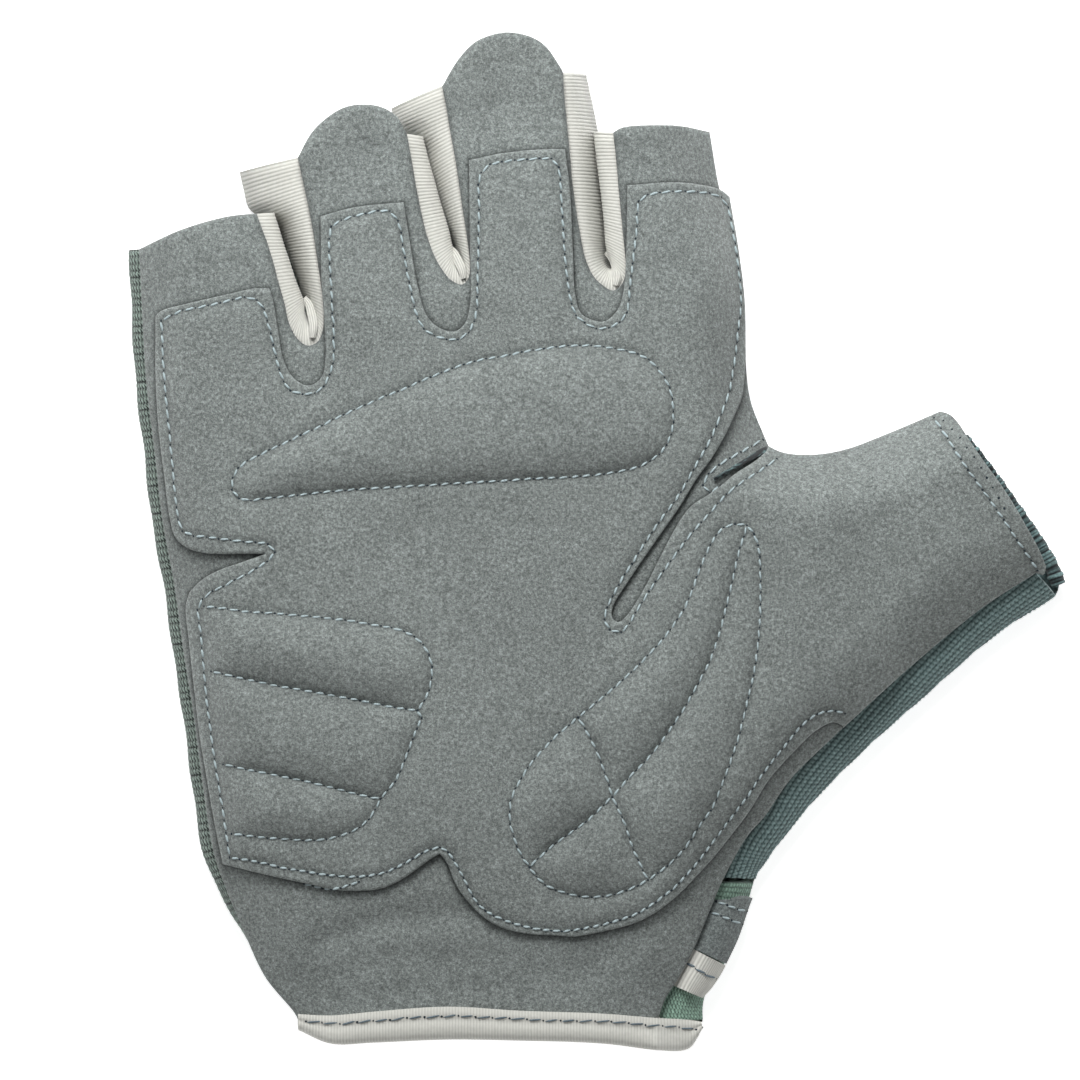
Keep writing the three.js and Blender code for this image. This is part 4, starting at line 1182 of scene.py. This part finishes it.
def tape_fold(name, points):
    """The pleat where a tape turns over at the root of the fingers, ribbed along its length"""
    middle = line(points, 0.15)
    share = np.linspace(0, 1, len(middle))
    across = np.linspace(-1, 1, 25)
    width = 0.75 * np.sin(np.pi * np.clip(0.12 + 0.75 * share, 0, 1)) ** 0.5
    end = palm_under(middle[-1:])[0] - 0.5
    level = mix(end - 3.4, end, ease(share * 1.1))
    height = level[:, None] + 0.85 * np.sqrt(np.clip(1 - across ** 2, 0, 1)) - 0.2
    surface = swept(middle, left_of(middle), width[:, None] * across, height)
    rib = np.abs(np.sin(np.pi * 2 * (across + 1)))[None] ** 0.6 * np.ones((len(middle), 1))
    return settle_piece(shell(name, surface, 0.25, 0.1 * rib, ribbed_tape, rib), "tape")


for i, (rows, fold) in enumerate(zip(TAPES, TAPE_FOLDS), 1):
    pleat = tape_fold(f"tape_pleat_{i}", fold)
    tape_piece(f"finger_tape_{i}", rows, f"fourchette_{i}")

# Knit strip down the little finger's side


def knit_pattern(length, height, wide=1.15, tall=0.8):
    """Rows of V-shaped loops: 1 on the yarn and 0 in the gaps"""
    column = length[:, None] / wide
    row = height[None, :] / tall
    lean = np.abs(column % 1 - 0.5) * 1.1
    yarn = np.abs(np.sin(np.pi * (row + lean)))
    gap = np.abs(np.sin(np.pi * column))
    return yarn ** 0.8 * (0.35 + 0.65 * gap ** 0.5)


def side_strip(columns=32, width=9):
    """A knit strip that swells out past the palm and runs out towards the wrist"""
    edge = line(LITTLE_SIDE[:-1], WEAVE)
    length = run_length(edge)
    bulge_out, ripple, ripple_length = 1.9, 0.12, 1.9
    narrowing, change = 0.76 * length[-1], 0.17 * length[-1]
    swell = bulge_out * (1 - ease((length - narrowing) / change)) + ripple * np.sin(length / ripple_length)
    top = palm_under(edge) - 2 * CLEARANCE
    low = back_face(edge) + 2 * CLEARANCE
    share = np.linspace(0, 1, columns)
    bulge = np.sin(np.pi * share)[None] * swell[:, None] - 0.15
    surface = swept(edge, towards(edge, -1), bulge, top[:, None] + (low - top)[:, None] * share)
    shade = knit_pattern(length, share * width)
    piece = shell("side_knit", surface, 1.0, 0.16 * shade, green_knit, shade, (-1, 0, 0))
    settle_piece(piece, "green_knit", "side_strip")


side_strip()

# Terry strip, wrist knit and strap end on the thumb's side


def sloping_surface(rows, first, last, count, over=0.0, bulge=0.9):
    """Grid of points from the suede's lower edge out to the back's edge, between two rows of the table"""
    pairs = np.array(rows, float)
    places = np.column_stack([millimetres(pairs[:, :2]), millimetres(pairs[:, 2:4]), np.arange(len(rows))])
    dense = dense_curve(places, 40)
    dense = dense[(dense[:, 4] >= first) & (dense[:, 4] <= last)]
    steps = even_steps(dense, WEAVE)
    edge, out = steps[:, :2], steps[:, 2:4]
    upper = np.column_stack([edge, palm_under(edge) - 2 * CLEARANCE])[:, None]
    lower = np.column_stack([out, back_face(out) + CLEARANCE + KNIT])[:, None]
    share = np.linspace(0, 1, count)[None, :, None]
    surface = upper + (lower - upper) * share
    down = (lower - upper) / np.linalg.norm(lower - upper, axis=2, keepdims=True)
    square = np.array([0, 0, 1.0]) - down * down[..., 2:]
    square /= np.linalg.norm(square, axis=2, keepdims=True)
    surface = surface + square * (bulge * np.sin(np.pi * share) + over * mix(0.25, 1, ease(share / 0.3)))
    return surface, run_length(edge), arc_width(surface)


def sloping_strip(name, node, slot, rows, ends, thickness, pattern, depth, material, count=40, **shape):
    """A strip over such a grid, with a pattern in relief"""
    surface, length, width = sloping_surface(rows, *ends, count, **shape)
    shade = pattern(length, np.linspace(0, width, count))
    piece = shell(name, surface, thickness, depth * shade, material, shade)
    settle_piece(piece, slot, node)
    return piece


def terry_pattern(length, height):
    """Uneven loops in slanting rows"""
    column = length[:, None] + 0.5 * height[None, :]
    row = height[None, :] - 0.12 * length[:, None]
    loops = np.abs(np.sin(np.pi * column / 0.85)) * np.abs(np.sin(np.pi * row / 0.95))
    uneven = rng.uniform(0.65, 1, loops.shape)
    return np.clip(loops * 1.2, 0, 1) ** 0.7 * uneven


sloping_strip("terry_strip", "thumb_strip", "terry", LOWER_SIDE, (0, STRIP_END - 0.05), KNIT,
              terry_pattern, 0.3, terry)
sloping_strip("wrist_knit_strip", "wrist_knit", "green_knit", LOWER_SIDE, (STRIP_END + 0.05, KNIT_END), KNIT,
              lambda length, height: knit_pattern(length, height, 0.8, 0.55), 0.12, sage_knit)
over_knit = {"over": CLEARANCE + TAB_THICKNESS, "bulge": 1.1}
tab = sloping_strip("strap_tab", "closure_tab", "suede", TAB, (0, len(TAB) - 1), TAB_THICKNESS,
                    lambda length, height: np.ones((len(length), len(height))), 0.0, suede_tab, **over_knit)
# The tab's suede gets neither painted shade nor a painted highlight
set_values(tab, "painted_shading", np.full(len(tab.data.vertices), PLAIN))
tab_binding = sloping_strip("strap_binding", "closure_tab_binding", "tape", TAB_BINDING,
                            (0, len(TAB_BINDING) - 1), TAB_THICKNESS,
                            lambda length, height: np.repeat(ribs(height, BINDING_RIB)[None], len(length), 0),
                            0.1, ribbed_tape, count=90, **over_knit)

# Mesh gusset at the crotch of the thumb

GUSSET = [[(714, 481), (742, 465), (769, 451)], [(769, 451), (768, 446), (741, 461), (713, 478)],
          [(713, 478), (714, 481)]]


def over_palm(height):
    return lambda points, _: palm_face(points) + height * slope_of(palm_face, points)


gusset, gusset_points = sheet_piece("crotch_mesh", trace(GUSSET), over_palm(CLEARANCE + 0.6),
                                    over_palm(CLEARANCE), [dark_mesh], grid=0.5)
settle_piece(gusset, "mesh", "thumb_gusset")
tone = 0.1 + 0.9 * rng.uniform(0, 1, len(gusset_points)) ** 3
set_values(gusset, "shade", np.concatenate([tone, tone]))

# Folded edge of the mesh round the opening of the thumb

HEM_ROLL = [(966, 436), (981, 455), (1000, 482), (1022, 516), (1040, 544), (1054, 569), (1060, 585)]


def hem_roll():
    """A roll of cloth along the thumb's opening, wider towards the lower corner, in uneven ribs"""
    middle = line(HEM_ROLL, 0.13)
    length = run_length(middle)
    share = length / length[-1]
    radius = mix(0.5, 1.15, ease(share * 1.1)) + 0.06 * np.sin(length * 2.1)
    turn = np.radians(np.linspace(-40, 170, 22))
    level = back_face(middle) + radius * 0.8 + 0.6
    surface = swept(middle, towards(middle, 1), radius[:, None] * np.cos(turn),
                    level[:, None] + radius[:, None] * np.sin(turn))
    rib = ribs(length + 0.25 * np.sin(length * 1.3), ROLL_PITCH, 0.01)
    uneven = rng.uniform(0.3, 1, len(rib) // 5 + 1).repeat(5)[:len(rib)]
    shade = (rib * uneven)[:, None] * np.ones(len(turn))
    piece = shell("thumb_hem_roll", surface, 0.3, 0.22 * shade, dark_mesh, shade)
    settle_piece(piece, "mesh")


hem_roll()

# Folded binding of the wrist

# Its section from the sewn edge over the fold to the inside: share of the way to the fold, share of the way
# from the sewn edge's height to the fold's, side of the sheet, and distance from the sheet
BINDING_SECTION = [(0, 0, 1, 0.5), (0.2, 0.2, 1, 0.8), (0.38, 0.38, 1, 0.6), (0.62, 0.62, 1, 0.85),
                   (0.88, 1, 1, 0.5), (1, 1, 0, 0), (0.85, 1, -1, -0.8), (0, 0, -1, -0.9)]
CORNER_WIDTH = 7.0
CORNER_FOOT = 5.2


def binding_section(outer, share):
    """Smooth section through a few points, at shares of its length"""
    curve = dense_curve(outer, 12)
    lengths = run_length(curve)
    places = share * lengths[-1]
    return np.stack([np.interp(places, lengths, column) for column in curve.T], axis=1)


def binding(name, node, rows, middle_height, half, count=34):
    """Ribbed tape folded round the hem of a sheet whose middle is at the height given"""
    places = millimetres([(u, top) for u, top, _ in rows])
    folds = millimetres([(u, fold) for u, _, fold in rows])
    steps = even_steps(dense_curve(np.column_stack([places, folds[:, 1]])), BINDING_RIB / 6)
    x, top, fold = steps[:, 0], steps[:, 1], steps[:, 2]
    sewn = middle_height(np.column_stack([x, top]))
    folded = middle_height(np.column_stack([x, fold + TAPE]))
    share = np.linspace(0, 1, count)
    surface = np.empty((len(x), count, 3))
    for i in range(len(x)):
        outer = [(mix(top[i], fold[i], down), mix(sewn[i], folded[i], slope) + side * half + puff)
                 for down, slope, side, puff in BINDING_SECTION]
        surface[i, :, 0] = x[i]
        surface[i, :, 1:] = binding_section(outer, share)
    rib = np.repeat(ribs(run_length(steps), BINDING_RIB, 0.003)[:, None], count, axis=1)
    piece = shell(name, surface, 0.6, 0.06 * rib, ribbed_tape, 0.3 + 0.6 * rib)
    settle_piece(piece, "tape", node)
    return piece


def hem_corner_height(face, thickness):
    """Height of a sheet's middle, which past the suede's corner slopes down to the back"""
    corner = millimetres([LITTLE_SIDE[-1], lower_edge[-1]])

    def height(points):
        held = points.copy()
        held[:, 0] = np.clip(held[:, 0], corner[0, 0], corner[1, 0])
        level = face(held) - thickness / 2
        share = np.clip((points[:, 0] - corner[1, 0]) / CORNER_WIDTH, 0, 1)
        return mix(level, CORNER_FOOT, round_off(share))

    return height


palm_binding = binding("wrist_binding", "cuff_binding", WRIST_HEM, hem_corner_height(palm_face, SUEDE),
                       SUEDE / 2 + 0.25)
binding("wrist_binding_back", "cuff_binding_back", [row for row in WRIST_HEM if row[0] < BACK_HEM_END],
        lambda points: back_face(points) - KNIT / 2, KNIT / 2 + 0.05)

# Threads

palm_heights = height_finder(overlay, base)
stitch_rows("tab_stitches", lines_of(TAB_STITCH), height_finder(tab))
stitch_rows("tab_binding_stitches", lines_of(TAB_BINDING_STITCH), height_finder(tab_binding), dash=1.9,
            yarn=dark_thread, hole=0.1)
stitch_rows("wrist_stitches", [line(WRIST_STITCH)], height_finder(palm_binding), pitch=2.8, dash=2.5,
            radius=0.14, yarn=dark_thread)
stitch_rows("overlay_stitches", lines_of([PERIMETER_STITCH, *LEFT_STITCH]), palm_heights)
stitch_rows("scallop_stitches", lines_of(LOWER_STITCH + RESTART_STITCH), palm_heights, pitch=1.65, dash=1.3)
stitch_rows("pad_stitches", pad_lines, palm_heights, pitch=1.95, dash=1.5)
stitch_rows("hem_stitches", lines_of(HEM_STITCH + CROTCH_STITCH), palm_heights)
# Needle holes along the hem without thread, as dots of painted shade
stitch_rows("hem_needle_marks", lines_of(HEM_HOLES), palm_heights, dash=0)
